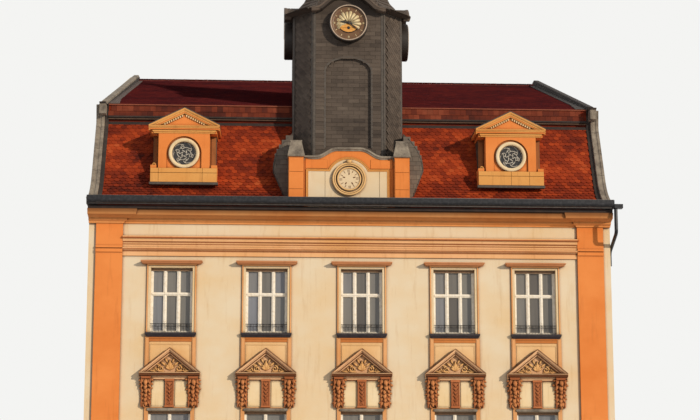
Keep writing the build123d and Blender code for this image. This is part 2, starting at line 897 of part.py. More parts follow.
with BuildPart() as dormers:
    # Base with raised ends, and the body with its arched panel
    with BuildSketch(dormer_plane):
        for x in dormer_centres:
            with Locations((x, dormer_base_level + dormer_base_height / 2)):
                Rectangle(dormer_base_width, dormer_base_height)
            with Locations((x, dormer_body_level + dormer_body_height / 2)):
                Rectangle(dormer_width, dormer_body_height)
            with Locations((x, dormer_body_level + dormer_ear_height / 2)):
                with GridLocations(dormer_base_width - dormer_ear_width, 0, 2, 1):
                    Rectangle(dormer_ear_width, dormer_ear_height)
    extrude(amount=-dormer_depth)
    # Slate-hung housing behind the face
    with BuildSketch(dormer_plane.offset(-dormer_housing_setback)):
        for x in dormer_centres:
            with Locations((x, (dormer_base_level + dormer_cornice_level) / 2)):
                Rectangle(dormer_housing_width, dormer_cornice_level - dormer_base_level)
    extrude(amount=dormer_housing_setback - dormer_depth)
    # Pilaster strips and spandrels in front of the arched panel
    with BuildSketch(dormer_plane):
        for x in dormer_centres:
            with Locations((x, dormer_body_level + dormer_body_height / 2)):
                Rectangle(dormer_width, dormer_body_height)
            with Locations((x, oculus_level)):
                Circle(dormer_arch_radius, mode=Mode.SUBTRACT)
            with Locations((x, (dormer_body_level + oculus_level) / 2)):
                Rectangle(2 * dormer_arch_radius, oculus_level - dormer_body_level, mode=Mode.SUBTRACT)
        for x in dormer_centres:
            with Locations((x, dormer_base_level + dormer_base_height / 2)):
                Rectangle(dormer_base_width, dormer_base_height)
            with Locations((x, dormer_body_level + dormer_ear_height / 2)):
                with GridLocations(dormer_base_width - dormer_ear_width, 0, 2, 1):
                    Rectangle(dormer_ear_width, dormer_ear_height)
    extrude(amount=dormer_pilaster_depth)
    # Cornice in two steps, and the pediment
    with BuildSketch(dormer_plane.offset(dormer_pediment_overhang - dormer_cornice_step)):
        for x in dormer_centres:
            with Locations((x, dormer_cornice_level + dormer_cornice_height / 2)):
                Rectangle(dormer_housing_width + 2 * dormer_cornice_step, dormer_cornice_height)
    extrude(amount=dormer_cornice_step - dormer_pediment_overhang - dormer_depth)
    with BuildSketch(dormer_plane.offset(dormer_pediment_overhang)):
        for x in dormer_centres:
            half = dormer_pediment_width / 2
            with BuildLine():
                Polyline(
                    (x - half, dormer_gable_level - dormer_cornice_height / 2),
                    (x + half, dormer_gable_level - dormer_cornice_height / 2),
                    (x + half, dormer_gable_level),
                    (x, dormer_gable_level + dormer_pediment_height),
                    (x - half, dormer_gable_level),
                    (x - half, dormer_gable_level - dormer_cornice_height / 2),
                )
            make_face()
    extrude(amount=-dormer_depth - dormer_pediment_overhang)
    # Sunk tympanum between the raking mouldings
    dormer_rake = dormer_pediment_height / (dormer_pediment_width / 2)
    dormer_rim_height = dormer_pediment_rim * (1 + dormer_rake**2) ** 0.5
    with BuildSketch(dormer_plane.offset(dormer_pediment_overhang)):
        for x in dormer_centres:
            half = dormer_pediment_width / 2 - dormer_rim_height / dormer_rake
            with BuildLine():
                Polyline(
                    (x - half, dormer_gable_level),
                    (x + half, dormer_gable_level),
                    (x, dormer_gable_level + dormer_pediment_height - dormer_rim_height),
                    (x - half, dormer_gable_level),
                )
            make_face()
    extrude(amount=-dormer_tympanum_depth, mode=Mode.SUBTRACT)
    with BuildSketch(dormer_plane):
        for x in dormer_centres:
            with Locations((x, oculus_level)):
                Circle(oculus_radius)
    extrude(amount=-dormer_wall, mode=Mode.SUBTRACT)
    add(dormer_room.part, mode=Mode.SUBTRACT)
    add(lower_roof_mass.part, mode=Mode.SUBTRACT)
    add(break_bands.part, mode=Mode.SUBTRACT)

with BuildPart() as oculus_rings:
    with BuildSketch(dormer_plane):
        for x in dormer_centres:
            with Locations((x, oculus_level)):
                Circle(oculus_radius + oculus_ring_width)
                Circle(oculus_radius, mode=Mode.SUBTRACT)
    extrude(amount=oculus_ring_depth)

with BuildPart() as dormer_glass:
    with BuildSketch(dormer_plane.offset(-dormer_wall / 2)):
        for x in dormer_centres:
            with Locations((x, oculus_level)):
                Circle(oculus_radius)
    extrude(amount=glass_thickness)


# Tower

# Face of the tower that looks along one direction, centred on its clock
def clock_plane(turn):
    planes = {
        "front": Plane(
            origin=(axis_x, tower_y - tower_half, clock_level), x_dir=(1, 0, 0), z_dir=(0, -1, 0)
        ),
        "left": Plane(
            origin=(axis_x - tower_half, tower_y, clock_level), x_dir=(0, -1, 0), z_dir=(-1, 0, 0)
        ),
        "right": Plane(
            origin=(axis_x + tower_half, tower_y, clock_level), x_dir=(0, 1, 0), z_dir=(1, 0, 0)
        ),
    }
    return planes[turn]


clock_sides = ("front", "left", "right")
eave_above_clock = tower_eave_level - clock_level


# Flowing upper edge of the hood over a clock, raised by a given height
def hood_edge(rise):
    level = eave_above_clock + rise
    return Spline(
        (-hood_half_width, level),
        (-hood_shoulder, level + hood_shoulder_rise),
        (0, level + hood_rise),
        (hood_shoulder, level + hood_shoulder_rise),
        (hood_half_width, level),
        tangents=((1, 0), (1, 0)),
    )


with BuildPart() as tower_shaft:
    add(tower_prism.part)
    # Upstands that carry the upper part of each clock
    for turn in clock_sides:
        with BuildSketch(clock_plane(turn)):
            with BuildLine():
                edge = hood_edge(-roof_shell)
                Line(edge @ 0, edge @ 1)
            make_face()
            with Locations((0, eave_above_clock - hood_rise)):
                Rectangle(2 * hood_half_width, 2 * hood_rise, mode=Mode.SUBTRACT)
        extrude(amount=-tower_wall)
    with BuildSketch(Plane.XY.offset(eave_level)):
        with Locations((axis_x, tower_y)):
            Rectangle(2 * (tower_half - tower_wall), 2 * (tower_half - tower_wall))
        chamfer(vertices(), length=tower_chamfer - tower_wall / 2)
    extrude(amount=tower_eave_level - eave_level, mode=Mode.SUBTRACT)
    # Blind panel of the front under a flat arch
    with BuildSketch(facade.offset(-tower_front)):
        with Locations((axis_x, (panel_foot_level + panel_spring_level) / 2)):
            Rectangle(2 * panel_half_width, panel_spring_level - panel_foot_level)
        with Locations((axis_x, panel_spring_level)):
            Ellipse(panel_half_width, panel_crown_level - panel_spring_level)
    extrude(amount=-panel_depth, mode=Mode.SUBTRACT)


with BuildPart() as tower_roof:
    for half, level in roof_rings:
        with BuildSketch(Plane.XY.offset(tower_eave_level + level)):
            with Locations((axis_x, tower_y)):
                Rectangle(2 * half, 2 * half)
            chamfer(vertices(), length=tower_chamfer * half / tower_half)
    loft(ruled=True)
    # Flowing hood over each clock
    for turn in clock_sides:
        with BuildSketch(clock_plane(turn).offset(roof_rings[0][0] - tower_half)):
            with BuildLine():
                edge = hood_edge(0)
                Line(edge @ 0, edge @ 1)
            make_face()
        extrude(amount=-hood_length)
    for half, level in roof_rings:
        with BuildSketch(Plane.XY.offset(tower_eave_level + level - roof_shell)):
            with Locations((axis_x, tower_y)):
                Rectangle(2 * (half - roof_shell), 2 * (half - roof_shell))
            chamfer(vertices(), length=tower_chamfer * (half - roof_shell) / tower_half)
    loft(ruled=True, mode=Mode.SUBTRACT)
    for turn in clock_sides:
        with BuildSketch(clock_plane(turn).offset(roof_rings[0][0] - tower_half)):
            with BuildLine():
                edge = hood_edge(-roof_shell)
                Line(edge @ 0, edge @ 1)
            make_face()
        extrude(amount=-hood_length, mode=Mode.SUBTRACT)

with BuildPart() as tower_finial:
    spire_top = roof_rings[-1][1] + tower_eave_level
    collar = finial_steps[:3]
    ball_foot, ball, ball_top = finial_steps[3:6]
    with BuildSketch(Plane.XZ.offset(-tower_y)):
        with BuildLine():
            Polyline(
                (axis_x, spire_top),
                *[(axis_x + r, spire_top + z) for r, z in collar],
                (axis_x + ball_foot[0], spire_top + ball_foot[1]),
            )
            ThreePointArc(*[(axis_x + r, spire_top + z) for r, z in (ball_foot, ball, ball_top)])
            Polyline(
                *[(axis_x + r, spire_top + z) for r, z in finial_steps[5:]],
                (axis_x, spire_top + finial_steps[-1][1]),
                (axis_x, spire_top),
            )
        make_face()
    revolve(axis=Axis((axis_x, tower_y, 0), (0, 0, 1)))

# Slate-hung swellings at both sides of the tower's foot
with BuildPart() as tower_flanks:
    for side in (-1, 1):
        with BuildSketch(facade.offset(-tower_front)):
            with BuildLine():
                edge = axis_x + side * tower_half
                tip = edge + side * flank_reach
                middle_level = (flank_shoulder_level + flank_tip_level - flank_reach / 3) / 2
                swelling = ThreePointArc(
                    (edge + side * flank_reach / 4, flank_shoulder_level),
                    (tip - side * flank_reach / 10, middle_level),
                    (tip, flank_tip_level),
                )
                Polyline(
                    swelling @ 1,
                    (edge + side * flank_reach / 3, flank_foot_level),
                    (edge, flank_foot_level),
                    (edge, flank_shoulder_level + flank_reach / 4),
                    swelling @ 0,
                )
            make_face()
        extrude(amount=-flank_depth)
    add(tower_prism.part, mode=Mode.SUBTRACT)
    add(lower_roof_mass.part, mode=Mode.SUBTRACT)


# Attic gable in front of the tower

# Curved upper edge of the gable, raised by a given height
def gable_edge(rise):
    left = Spline(
        (axis_x - gable_swell_half, gable_shoulder_level + rise),
        (axis_x - gable_crown_half, gable_crown_level + rise),
        tangents=((1, 0), (1, 0)),
    )
    right = Spline(
        (axis_x + gable_crown_half, gable_crown_level + rise),
        (axis_x + gable_swell_half, gable_shoulder_level + rise),
        tangents=((1, 0), (1, 0)),
    )
    Line((axis_x - pier_inner, gable_shoulder_level + rise), left @ 0)
    Line(left @ 1, right @ 0)
    Line(right @ 1, (axis_x + pier_inner, gable_shoulder_level + rise))


with BuildPart() as attic_gable:
    with BuildSketch(facade.offset(-tower_front)):
        with BuildLine():
            gable_edge(0)
            Polyline(
                (axis_x + pier_inner, gable_shoulder_level),
                (axis_x + pier_inner, eave_level),
                (axis_x - pier_inner, eave_level),
                (axis_x - pier_inner, gable_shoulder_level),
            )
        make_face()
    extrude(amount=tower_front - gable_front)
    with BuildSketch(facade.offset(-tower_front)):
        with Locations((axis_x, (pier_top_level + eave_level) / 2)):
            with GridLocations(pier_inner + pier_outer, 0, 2, 1):
                Rectangle(pier_outer - pier_inner, pier_top_level - eave_level)
    extrude(amount=tower_front - pier_front)

with BuildPart() as gable_coping:
    with BuildSketch(facade.offset(-tower_front)):
        with BuildLine():
            gable_edge(0)
            gable_edge(gable_coping_height)
            Line(
                (axis_x - pier_inner, gable_shoulder_level),
                (axis_x - pier_inner, gable_shoulder_level + gable_coping_height),
            )
            Line(
                (axis_x + pier_inner, gable_shoulder_level),
                (axis_x + pier_inner, gable_shoulder_level + gable_coping_height),
            )
        make_face()
    extrude(amount=tower_front - gable_front + gable_coping_overhang)
    # Caps of the piers
    cap_y = front_y + (tower_front + pier_front) / 2
    with BuildSketch(Plane.XY.offset(pier_top_level)):
        with Locations((axis_x, cap_y)):
            with GridLocations(pier_inner + pier_outer, 0, 2, 1):
                Rectangle(
                    pier_outer - pier_inner + 2 * cap_overhang, tower_front - pier_front
                )
    extrude(amount=cap_height, taper=cap_taper)

with BuildPart() as medallion:
    medallion_plane = Plane(
        origin=(axis_x, front_y + gable_front, medallion_level), x_dir=(1, 0, 0), z_dir=(0, -1, 0)
    )
    with BuildSketch(medallion_plane):
        Circle(medallion_radius)
    extrude(amount=medallion_depth)
    with BuildSketch(medallion_plane.offset(medallion_depth)):
        Circle(medallion_radius - medallion_rim)
        Circle(medallion_radius - medallion_rim - medallion_channel, mode=Mode.SUBTRACT)
    extrude(amount=-medallion_depth / 2, mode=Mode.SUBTRACT)
    fillet(faces().sort_by(Axis.Y)[0].outer_wire().edges(), medallion_rim / 4)


# Clocks: a drum with a bezel, a dial in it and two hands on concentric arbors

tube_inner = arbor_radius + running_clearance
tube_outer = tube_inner + tube_wall
dial_bore = tube_outer + running_clearance
hour_level = dial_thickness + hand_gap
minute_level = hour_level + hand_thickness + hand_gap

with BuildPart() as clock_bezels:
    for turn in clock_sides:
        with BuildSketch(clock_plane(turn)):
            Circle(dial_radius + bezel_width)
            Circle(dial_radius, mode=Mode.SUBTRACT)
        extrude(amount=bezel_depth)

with BuildPart() as clock_dials:
    for turn in clock_sides:
        with BuildSketch(clock_plane(turn)):
            Circle(dial_radius)
            Circle(dial_bore, mode=Mode.SUBTRACT)
        extrude(amount=dial_thickness)


# A hand with its hub, blade and counterweight, turned to its angle at rest
def hand(turn, length, width, level, angle, pin, bore):
    with BuildPart() as made:
        with BuildSketch(clock_plane(turn).offset(level)):
            with BuildLine():
                Polyline(
                    (-width / 2, 0),
                    (-width, length * 0.7),
                    (0, length),
                    (width, length * 0.7),
                    (width / 2, 0),
                    (width, -length * 0.35),
                    (-width, -length * 0.35),
                    (-width / 2, 0),
                )
            make_face()
            Circle(hand_hub)
            if bore:
                Circle(bore, mode=Mode.SUBTRACT)
        extrude(amount=hand_thickness)
        with BuildSketch(clock_plane(turn).offset(running_clearance)):
            Circle(pin)
            if bore:
                Circle(bore, mode=Mode.SUBTRACT)
        extrude(amount=level - running_clearance)
    return made.part.rotate(Axis(clock_plane(turn).origin, clock_plane(turn).z_dir), -angle)


for turn in clock_sides:
    save(
        hand(turn, minute_hand_length, minute_hand_width, minute_level, minute_angle, arbor_radius, 0),
        f"{turn}_minute_hand",
    )
    save(
        hand(turn, hour_hand_length, hour_hand_width, hour_level, hour_angle, tube_outer, tube_inner),
        f"{turn}_hour_hand",
    )


# Gutters and downpipes

with BuildPart() as gutters:
    trough_level = eave_level + gutter_gap + gutter_radius
    for face in (facade, rear):
        with BuildSketch(section.offset(-wall_half)):
            side = -1 if face is facade else 1
            middle = side * (house_depth / 2 + eave_overhang + gutter_radius)
            with Locations((middle, trough_level)):
                Circle(gutter_radius)
                Circle(gutter_radius - gutter_wall, mode=Mode.SUBTRACT)
            with Locations((middle, trough_level + gutter_radius)):
                Rectangle(2 * gutter_radius, 2 * gutter_radius, mode=Mode.SUBTRACT)
            # Upright sides above the half-round trough
            with Locations((middle, trough_level + gutter_side / 2)):
                with GridLocations(2 * gutter_radius - gutter_wall, 0, 2, 1):
                    Rectangle(gutter_wall, gutter_side)
            # The back goes down to the foot of the roof, where it is nailed
            back = middle - side * (gutter_radius - gutter_wall / 2)
            with Locations((back, (eave_level + trough_level) / 2)):
                Rectangle(gutter_wall, trough_level - eave_level)
        extrude(amount=2 * wall_half)

with BuildPart() as downpipes:
    pipe_x = wall_half + pipe_radius
    hopper_y = front_y - eave_overhang - gutter_radius
    with BuildSketch(Plane.XY.offset(eave_level)):
        with Locations((wall_half + hopper_size / 2, hopper_y)):
            Rectangle(hopper_size, 2 * gutter_radius)
    extrude(amount=trough_level - eave_level)
    with BuildLine() as pipe_path:
        FilletPolyline(
            (pipe_x, hopper_y, eave_level),
            (pipe_x, hopper_y, eave_level - pipe_bend_drop),
            (pipe_x, front_y + pipe_stand_off, eave_level - pipe_bend_drop - pipe_return_drop),
            (pipe_x, front_y + pipe_stand_off, eave_level - pipe_foot_drop),
            radius=pipe_bend_radius,
        )
    with BuildSketch(Plane.XY.offset(eave_level)):
        with Locations((pipe_x, hopper_y)):
            Circle(pipe_radius)
    sweep(path=pipe_path.wires()[0])

finished = {
    "ground_floor_slab": ground_floor_slab,
    "first_floor_slab": first_floor_slab,
    "second_floor_slab": second_floor_slab,
    "attic_floor_slab": attic_floor_slab,
    "front_wall": front_wall,
    "back_wall": back_wall,
    "left_party_wall": left_party_wall,
    "right_party_wall": right_party_wall,
    "party_wall_copings": party_wall_copings,
    "plinths": plinths,
    "string_course": string_course,
    "pilasters": pilasters,
    "architrave": architrave,
    "cornices": cornices,
    "second_floor_surrounds": second_floor_surrounds,
    "first_floor_surrounds": first_floor_surrounds,
    "ground_floor_surrounds": ground_floor_surrounds,
    "window_pediments": window_pediments,
    "window_consoles": window_consoles,
    "window_sills": window_sills,
    "window_frames": window_frames,
    "window_glass": window_glass,
    "door_frames": door_frames,
    "door_leaves": door_leaves,
    "doorsteps": doorsteps,
    "lower_roof_front": lower_roof_front,
    "lower_roof_back": lower_roof_back,
    "upper_roof_front": upper_roof_front,
    "upper_roof_back": upper_roof_back,
    "break_bands": break_bands,
    "ridge_cap": ridge_cap,
    "dormers": dormers,
    "oculus_rings": oculus_rings,
    "dormer_glass": dormer_glass,
    "tower_shaft": tower_shaft,
    "tower_flanks": tower_flanks,
    "tower_roof": tower_roof,
    "tower_finial": tower_finial,
    "attic_gable": attic_gable,
    "gable_coping": gable_coping,
    "medallion": medallion,
    "clock_bezels": clock_bezels,
    "clock_dials": clock_dials,
    "gutters": gutters,
    "downpipes": downpipes,
}

for label, builder in finished.items():
    save(builder.part, label)
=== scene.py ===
import math
import random

import bmesh
import bpy
from mathutils import Matrix, Vector


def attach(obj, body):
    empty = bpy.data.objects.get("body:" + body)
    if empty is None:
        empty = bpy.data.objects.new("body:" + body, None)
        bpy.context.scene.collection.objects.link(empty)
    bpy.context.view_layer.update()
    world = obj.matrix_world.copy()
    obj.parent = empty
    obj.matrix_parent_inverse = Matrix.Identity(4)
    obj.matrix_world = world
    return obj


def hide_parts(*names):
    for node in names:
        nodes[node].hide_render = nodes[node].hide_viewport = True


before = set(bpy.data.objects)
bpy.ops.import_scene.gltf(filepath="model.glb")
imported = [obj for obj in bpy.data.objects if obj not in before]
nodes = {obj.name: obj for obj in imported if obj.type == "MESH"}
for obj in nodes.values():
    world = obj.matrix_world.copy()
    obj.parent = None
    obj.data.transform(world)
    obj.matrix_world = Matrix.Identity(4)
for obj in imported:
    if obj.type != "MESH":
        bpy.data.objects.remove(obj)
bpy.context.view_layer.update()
building = "building"
print("frame loaded:", len(nodes), "nodes")

# Main sizes of the house in metres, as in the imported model
house = {
    "front": -10.5,
    "back": 10.5,
    "wallHalf": 7.4,
    "roomHalf": 7.1,
    "eave": 12.82,
    "bays": (-5.053, -2.39, 0.285, 2.905, 5.215),
    "axisX": -0.08,
}


def deep(depth):
    return house["front"] + depth


# sRGB hex to the linear colour that nodes take
def hexColour(code):
    parts = [int(code[i:i + 2], 16) / 255 for i in (1, 3, 5)]
    return tuple(c / 12.92 if c <= 0.04045 else ((c + 0.055) / 1.055) ** 2.4 for c in parts) + (1.0,)


# Adds one node, sets its properties and values, and links its inputs
def addNode(tree, kind, props=None, values=None, links=None):
    node = tree.nodes.new(kind)
    for key, value in (props or {}).items():
        setattr(node, key, value)
    for key, value in (values or {}).items():
        node.inputs[key].default_value = value
    for key, source in (links or {}).items():
        tree.links.new(source, node.inputs[key])
    return node


def newMaterial(name):
    material = bpy.data.materials.new(name)
    material.use_nodes = True
    tree = material.node_tree
    tree.nodes.clear()
    output = tree.nodes.new("ShaderNodeOutputMaterial")
    shader = tree.nodes.new("ShaderNodeBsdfPrincipled")
    tree.links.new(shader.outputs[0], output.inputs[0])
    return material, tree, shader


# Position in metres, stretched so that one unit of pattern is the given size
def place(tree, size):
    coords = addNode(tree, "ShaderNodeTexCoord")
    scale = [1 / s for s in size]
    return addNode(
        tree, "ShaderNodeMapping", values={"Scale": scale}, links={"Vector": coords.outputs["Object"]}
    ).outputs[0]


def mix(tree, factor, first, second, blend="MIX"):
    node = addNode(tree, "ShaderNodeMix", {"data_type": "RGBA", "blend_type": blend})
    for socket, value in ((0, factor), (6, first), (7, second)):
        if hasattr(value, "is_linked"):
            tree.links.new(value, node.inputs[socket])
        else:
            node.inputs[socket].default_value = value
    return node.outputs[2]


def ramp(tree, source, stops):
    node = addNode(tree, "ShaderNodeValToRGB", links={0: source})
    bar = node.color_ramp
    while len(bar.elements) < len(stops):
        bar.elements.new(0.5)
    for element, (at, colour) in zip(bar.elements, stops):
        element.position = at
        element.color = colour if len(colour) == 4 else (*colour, 1)
    return node.outputs[0]


def grey(level):
    return (level, level, level, 1)


black, white = grey(0), grey(1)


# Noise whose pattern has the given size in metres
def noise(tree, size, detail, roughness=0.5):
    return addNode(
        tree,
        "ShaderNodeTexNoise",
        values={"Scale": 1.0, "Detail": detail, "Roughness": roughness},
        links={"Vector": place(tree, size)},
    ).outputs[0]


# Colour, roughness and a fine relief; relief is (height, strength, depth in metres)
def finishShader(tree, shader, colour, rough, relief):
    tree.links.new(colour, shader.inputs["Base Color"])
    shader.inputs["Roughness"].default_value = rough
    height, strength, depth = relief
    bump = addNode(
        tree, "ShaderNodeBump", values={"Strength": strength, "Distance": depth}, links={"Height": height}
    )
    tree.links.new(bump.outputs[0], shader.inputs["Normal"])


# Steps of colour spread evenly over a value, from its first shade to its last
def evenRamp(tree, source, shades):
    return ramp(tree, source, [(i / (len(shades) - 1), hexColour(code)) for i, code in enumerate(shades)])

# Sizes in metres of what shows on lime render; its grain of about 2 mm is drawn at 12 mm so that it shows
lime = {
    "patch": (1.6, 1.6, 1.1), "streak": (0.16, 0.16, 1.5), "grain": (0.012, 0.012, 0.012),
    "rough": 0.85, "specular": 0.25, "recessShadeReach": 0.09, "topShadeFade": 0.3,
}


# Painted lime render: mottled colour, rain streaks and a sandy grain, with painted shade in its recesses and,
# where a top level is given, painted shadow darkening it towards that level
def limeRender(name, base, warm, stain, paintedShadeTone="#5e3016", paintedShadeTop=0):
    material, tree, shader = newMaterial(name)
    patchMask = ramp(tree, noise(tree, lime["patch"], 5.0, 0.6), ((0.35, black), (0.7, white)))
    colour = mix(tree, patchMask, hexColour(base), hexColour(warm))
    streakMask = ramp(tree, noise(tree, lime["streak"], 4.0, 0.7), ((0.55, black), (0.8, grey(0.5))))
    colour = mix(tree, streakMask, colour, hexColour(stain))
    # Painted shade: an ambient-occlusion node darkens the recesses where mouldings meet
    recess = addNode(
        tree, "ShaderNodeAmbientOcclusion", {"samples": 6, "inside": False}, {"Distance": lime["recessShadeReach"]}
    )
    recessShadeMask = ramp(tree, recess.outputs["AO"], ((0.45, grey(0.75)), (0.88, black)))
    colour = mix(tree, recessShadeMask, colour, hexColour(paintedShadeTone))
    # Painted shadow: darker towards the top level, over the fade distance below it
    if paintedShadeTop:
        coords = addNode(tree, "ShaderNodeTexCoord")
        height = addNode(tree, "ShaderNodeSeparateXYZ", links={0: coords.outputs["Object"]})
        reach = {"From Min": paintedShadeTop - lime["topShadeFade"], "From Max": paintedShadeTop, "To Min": 0.0, "To Max": 0.92}
        rise = addNode(tree, "ShaderNodeMapRange", values=reach, links={"Value": height.outputs[2]})
        colour = mix(tree, rise.outputs[0], colour, hexColour(paintedShadeTone))
    shader.inputs["Specular IOR Level"].default_value = lime["specular"]
    finishShader(tree, shader, colour, lime["rough"], (noise(tree, lime["grain"], 3.0, 0.7), 0.25, 0.004))
    return material


creamRender = limeRender("cream lime render", "#e0cfb2", "#dec298", "#c29a66")
# Brown for the architrave fillets, painting the shade lines under the fasciae
shadeLineBrown = limeRender("brown stucco fillets painting shade lines", "#b0683a", "#9c5830", "#6a3818", paintedShadeTone="#3a1c0c")
bandOrange = limeRender("burnt orange stucco band", "#c67c40", "#b86c34", "#7a4420")
# Brown stucco darker than the orange, painting shade on the dormers' side strips
shadedJambBrown = limeRender("brown stucco jamb darkened as painted shade", "#a0683c", "#885430", "#4a2a18")
ringCream = limeRender("cream-gold ring stucco", "#e6c08a", "#dcae70", "#a8743c")
orangeRender = limeRender("orange lime render", "#e68c48", "#da7c38", "#b5622c")
# Orange cornice render that darkens towards 12.76 m: painted shadow of the gutter over its top, and painted
# shade in its recesses
corniceRender = limeRender(
    "orange cornice render with painted gutter shadow", "#e8a262", "#dc8c4a", "#a86432", paintedShadeTone="#32160a", paintedShadeTop=12.76
)
architraveTan = limeRender("light orange-tan fasciae", "#e8b482", "#dea468", "#a8683a")
tanStucco = limeRender("tan stucco mouldings", "#d8a06a", "#cd8d55", "#8f5a38")
terracotta = limeRender("fired terracotta carving", "#bc7448", "#a45c34", "#6e3520", paintedShadeTone="#3e1e10")
palePaint = limeRender("pale painted stucco", "#e9d6b2", "#e2c493", "#b79566")
goldStucco = limeRender("golden tan stucco", "#e0a45c", "#d6924a", "#8f5a2c")
# Dark stucco for joints and dial marks, and for strips that paint shade on the pediments
darkStuccoAndShade = limeRender("sooty shadow joints", "#6b4024", "#5a3218", "#3a2012")
orangeTan = limeRender("orange-tan stucco beads", "#e2a872", "#d8985e", "#a5682f")
hoodBrown = limeRender("brick-brown stucco hood", "#c98a5e", "#b87548", "#7d4526")
apronTan = limeRender("light tan stucco apron", "#eac594", "#e2b278", "#b47a48")
pedimentTan = limeRender("pinkish tan stucco", "#e6bd92", "#dcaa7c", "#a06c48", paintedShadeTone="#4a2412")
carvedStone = limeRender("honey-coloured carving", "#e8bc80", "#dca464", "#8a4c22", paintedShadeTone="#4a2412")
consoleClay = limeRender("brown-orange carved leaves", "#d48e58", "#b06a3c", "#54260f", paintedShadeTone="#2c140a")


# Weathered sandstone: grey-brown with lichen and soot
def sandstone(name, base, dark, light):
    material, tree, shader = newMaterial(name)
    patches = noise(tree, (0.35, 0.35, 0.35), 8.0, 0.7)
    specks = noise(tree, (0.05, 0.05, 0.05), 5.0, 0.75)
    colour = ramp(tree, patches, ((0.3, hexColour(dark)), (0.5, hexColour(base)), (0.72, hexColour(light))))
    speckMask = ramp(tree, specks, ((0.5, black), (0.75, grey(0.6))))
    colour = mix(tree, speckMask, colour, hexColour(dark))
    finishShader(tree, shader, colour, 0.9, (specks, 0.5, 0.01))
    return material


copingStone = sandstone("weathered coping sandstone", "#857a6c", "#4a423a", "#a39886")
# Dark sandstone for the knee caps, and painted shade on the shaded faces of the party walls
darkStone = sandstone("sooty sandstone and painted shade", "#2e2622", "#1c1614", "#463c34")
floorPlaster = sandstone("bare floor screed", "#9a938a", "#7a746c", "#b0a99f")


# Small pieces whose shade is stored on each one: clay tiles and slates
def shadedPieces(name, shades, rough, grainSize, edgeTone=None):
    material, tree, shader = newMaterial(name)
    shade = addNode(tree, "ShaderNodeAttribute", {"attribute_name": "pieceShade"})
    # Fields weathered alike weigh more than the single piece
    fields = noise(tree, (1.5, 1.5, 0.6), 4.0, 0.6)
    weigh = {"operation": "MULTIPLY_ADD"}
    own = addNode(tree, "ShaderNodeMath", weigh, {1: 0.42, 2: -0.42}, {0: shade.outputs["Fac"]})
    both = addNode(tree, "ShaderNodeMath", weigh, {1: 1.4}, {0: fields, 2: own.outputs[0]})
    colour = evenRamp(tree, both.outputs[0], shades)
    grimeMask = ramp(tree, noise(tree, (0.9, 0.9, 0.05), 6.0, 0.65), ((0.5, black), (0.75, grey(0.45))))
    colour = mix(tree, grimeMask, colour, hexColour(shades[0]))
    worn = addNode(tree, "ShaderNodeAttribute", {"attribute_name": "wornEdge"})
    colour = mix(tree, worn.outputs["Fac"], colour, hexColour(edgeTone or shades[-1]))
    shader.inputs["Specular IOR Level"].default_value = 0.2
    finishShader(
        tree, shader, colour, rough, (noise(tree, (grainSize, grainSize, grainSize), 3.0), 0.4, 0.004)
    )
    return material


clayTiles = shadedPieces(
    "sun-bleached clay tiles", ("#46150b", "#6e240f", "#8a3012", "#a84018", "#b4542a"), 0.85, 0.02
)
# Darker copy of the clay tiles for the upper slopes and the ridge cap: painted shade where the light grazes
# the upper slope
darkTiles = shadedPieces("dark clay tiles with painted grazing shade", ("#340d12", "#4a1318", "#5c1a1a", "#6e2420"), 0.85, 0.02)
bandTiles = shadedPieces(
    "weathered hanging tiles", ("#341710", "#54241a", "#6c2e1c", "#84402a", "#6a3826"), 0.85, 0.02
)
slates = shadedPieces("roofing slate", ("#38302b", "#4e443c", "#5a4f46", "#6b6055"), 0.75, 0.03, "#8f8374")


# Plain coat over one base: paint, sheet metal or gilding
def coat(name, base, rough, metallic=0.0, wear=None, size=0.08):
    material, tree, shader = newMaterial(name)
    cloud = noise(tree, (size, size, size), 5.0, 0.65)
    mask = ramp(tree, cloud, ((0.45, black), (0.75, white)))
    colour = mix(tree, mask, hexColour(base), hexColour(wear or base))
    shader.inputs["Metallic"].default_value = metallic
    finishShader(tree, shader, colour, rough, (cloud, 0.15, 0.002))
    return material


ridgeClay = coat("dark fired ridge clay", "#6a2a24", 0.8, wear="#8a4434")
tarredBoardAndShade = coat("tarred board darkened as painted shade", "#20140f", 0.8, wear="#3a2820", size=0.15)
cappingClay = coat("clay capping", "#8e4a30", 0.8, wear="#6e3826", size=0.2)
mossBoard = coat("mossy brown fillet", "#5a4434", 0.85, wear="#443026", size=0.2)
paleSlates = shadedPieces(
    "sunlit roofing slate", ("#4a423b", "#625950", "#70665b", "#837869"), 0.75, 0.03, "#8f8374"
)
flashingLead = coat("brownish lead flashing", "#4e3e36", 0.85, wear="#3c302a", size=0.2)
hoodSheet = coat("folded hood edge sheet", "#57493e", 0.75, 0.1, wear="#6a5a4c", size=0.15)
leadStrip = coat("dull lead strip", "#463f39", 0.7, 0.1, wear="#5c544b", size=0.1)
whitePaint = coat("white linseed paint on pine", "#efe7d8", 0.45, wear="#d9cbb2")
greyPaint = coat("light grey window paint", "#c4c4c0", 0.5, wear="#a8a6a0")
# Dark brown for the boxes at the window heads, also standing for the shade under the head
headBoxBrown = coat("dark brown head box and painted shade", "#7a5c40", 0.6, wear="#5c422c")
sillSheet = coat("dark zinc sill sheet", "#2a2429", 0.5, 0.3, wear="#3d3638")
gutterSheet = coat("black coated gutter sheet", "#1f1f22", 0.35, 0.4, wear="#3a3a3c")
gilding = coat("worn gilding", "#d6c49a", 0.5, 0.1, wear="#b89a64")
drumPaint = coat("dark drum paint", "#1f1712", 0.55, wear="#2d231c")
dialPaint = coat("brown-gold dial enamel", "#6a4826", 0.45, wear="#4a2e18")
handPaint = coat("blackened steel", "#181210", 0.5, 0.2)
paleGilt = coat("pale worn gilding", "#b8a490", 0.5, 0.2, wear="#98826c")
orangeGilt = coat("orange gilt", "#d89a48", 0.4, 0.3, wear="#b8742c")
grilleIron = coat("pale painted iron", "#b4aea2", 0.5, 0.1, wear="#8a857c")
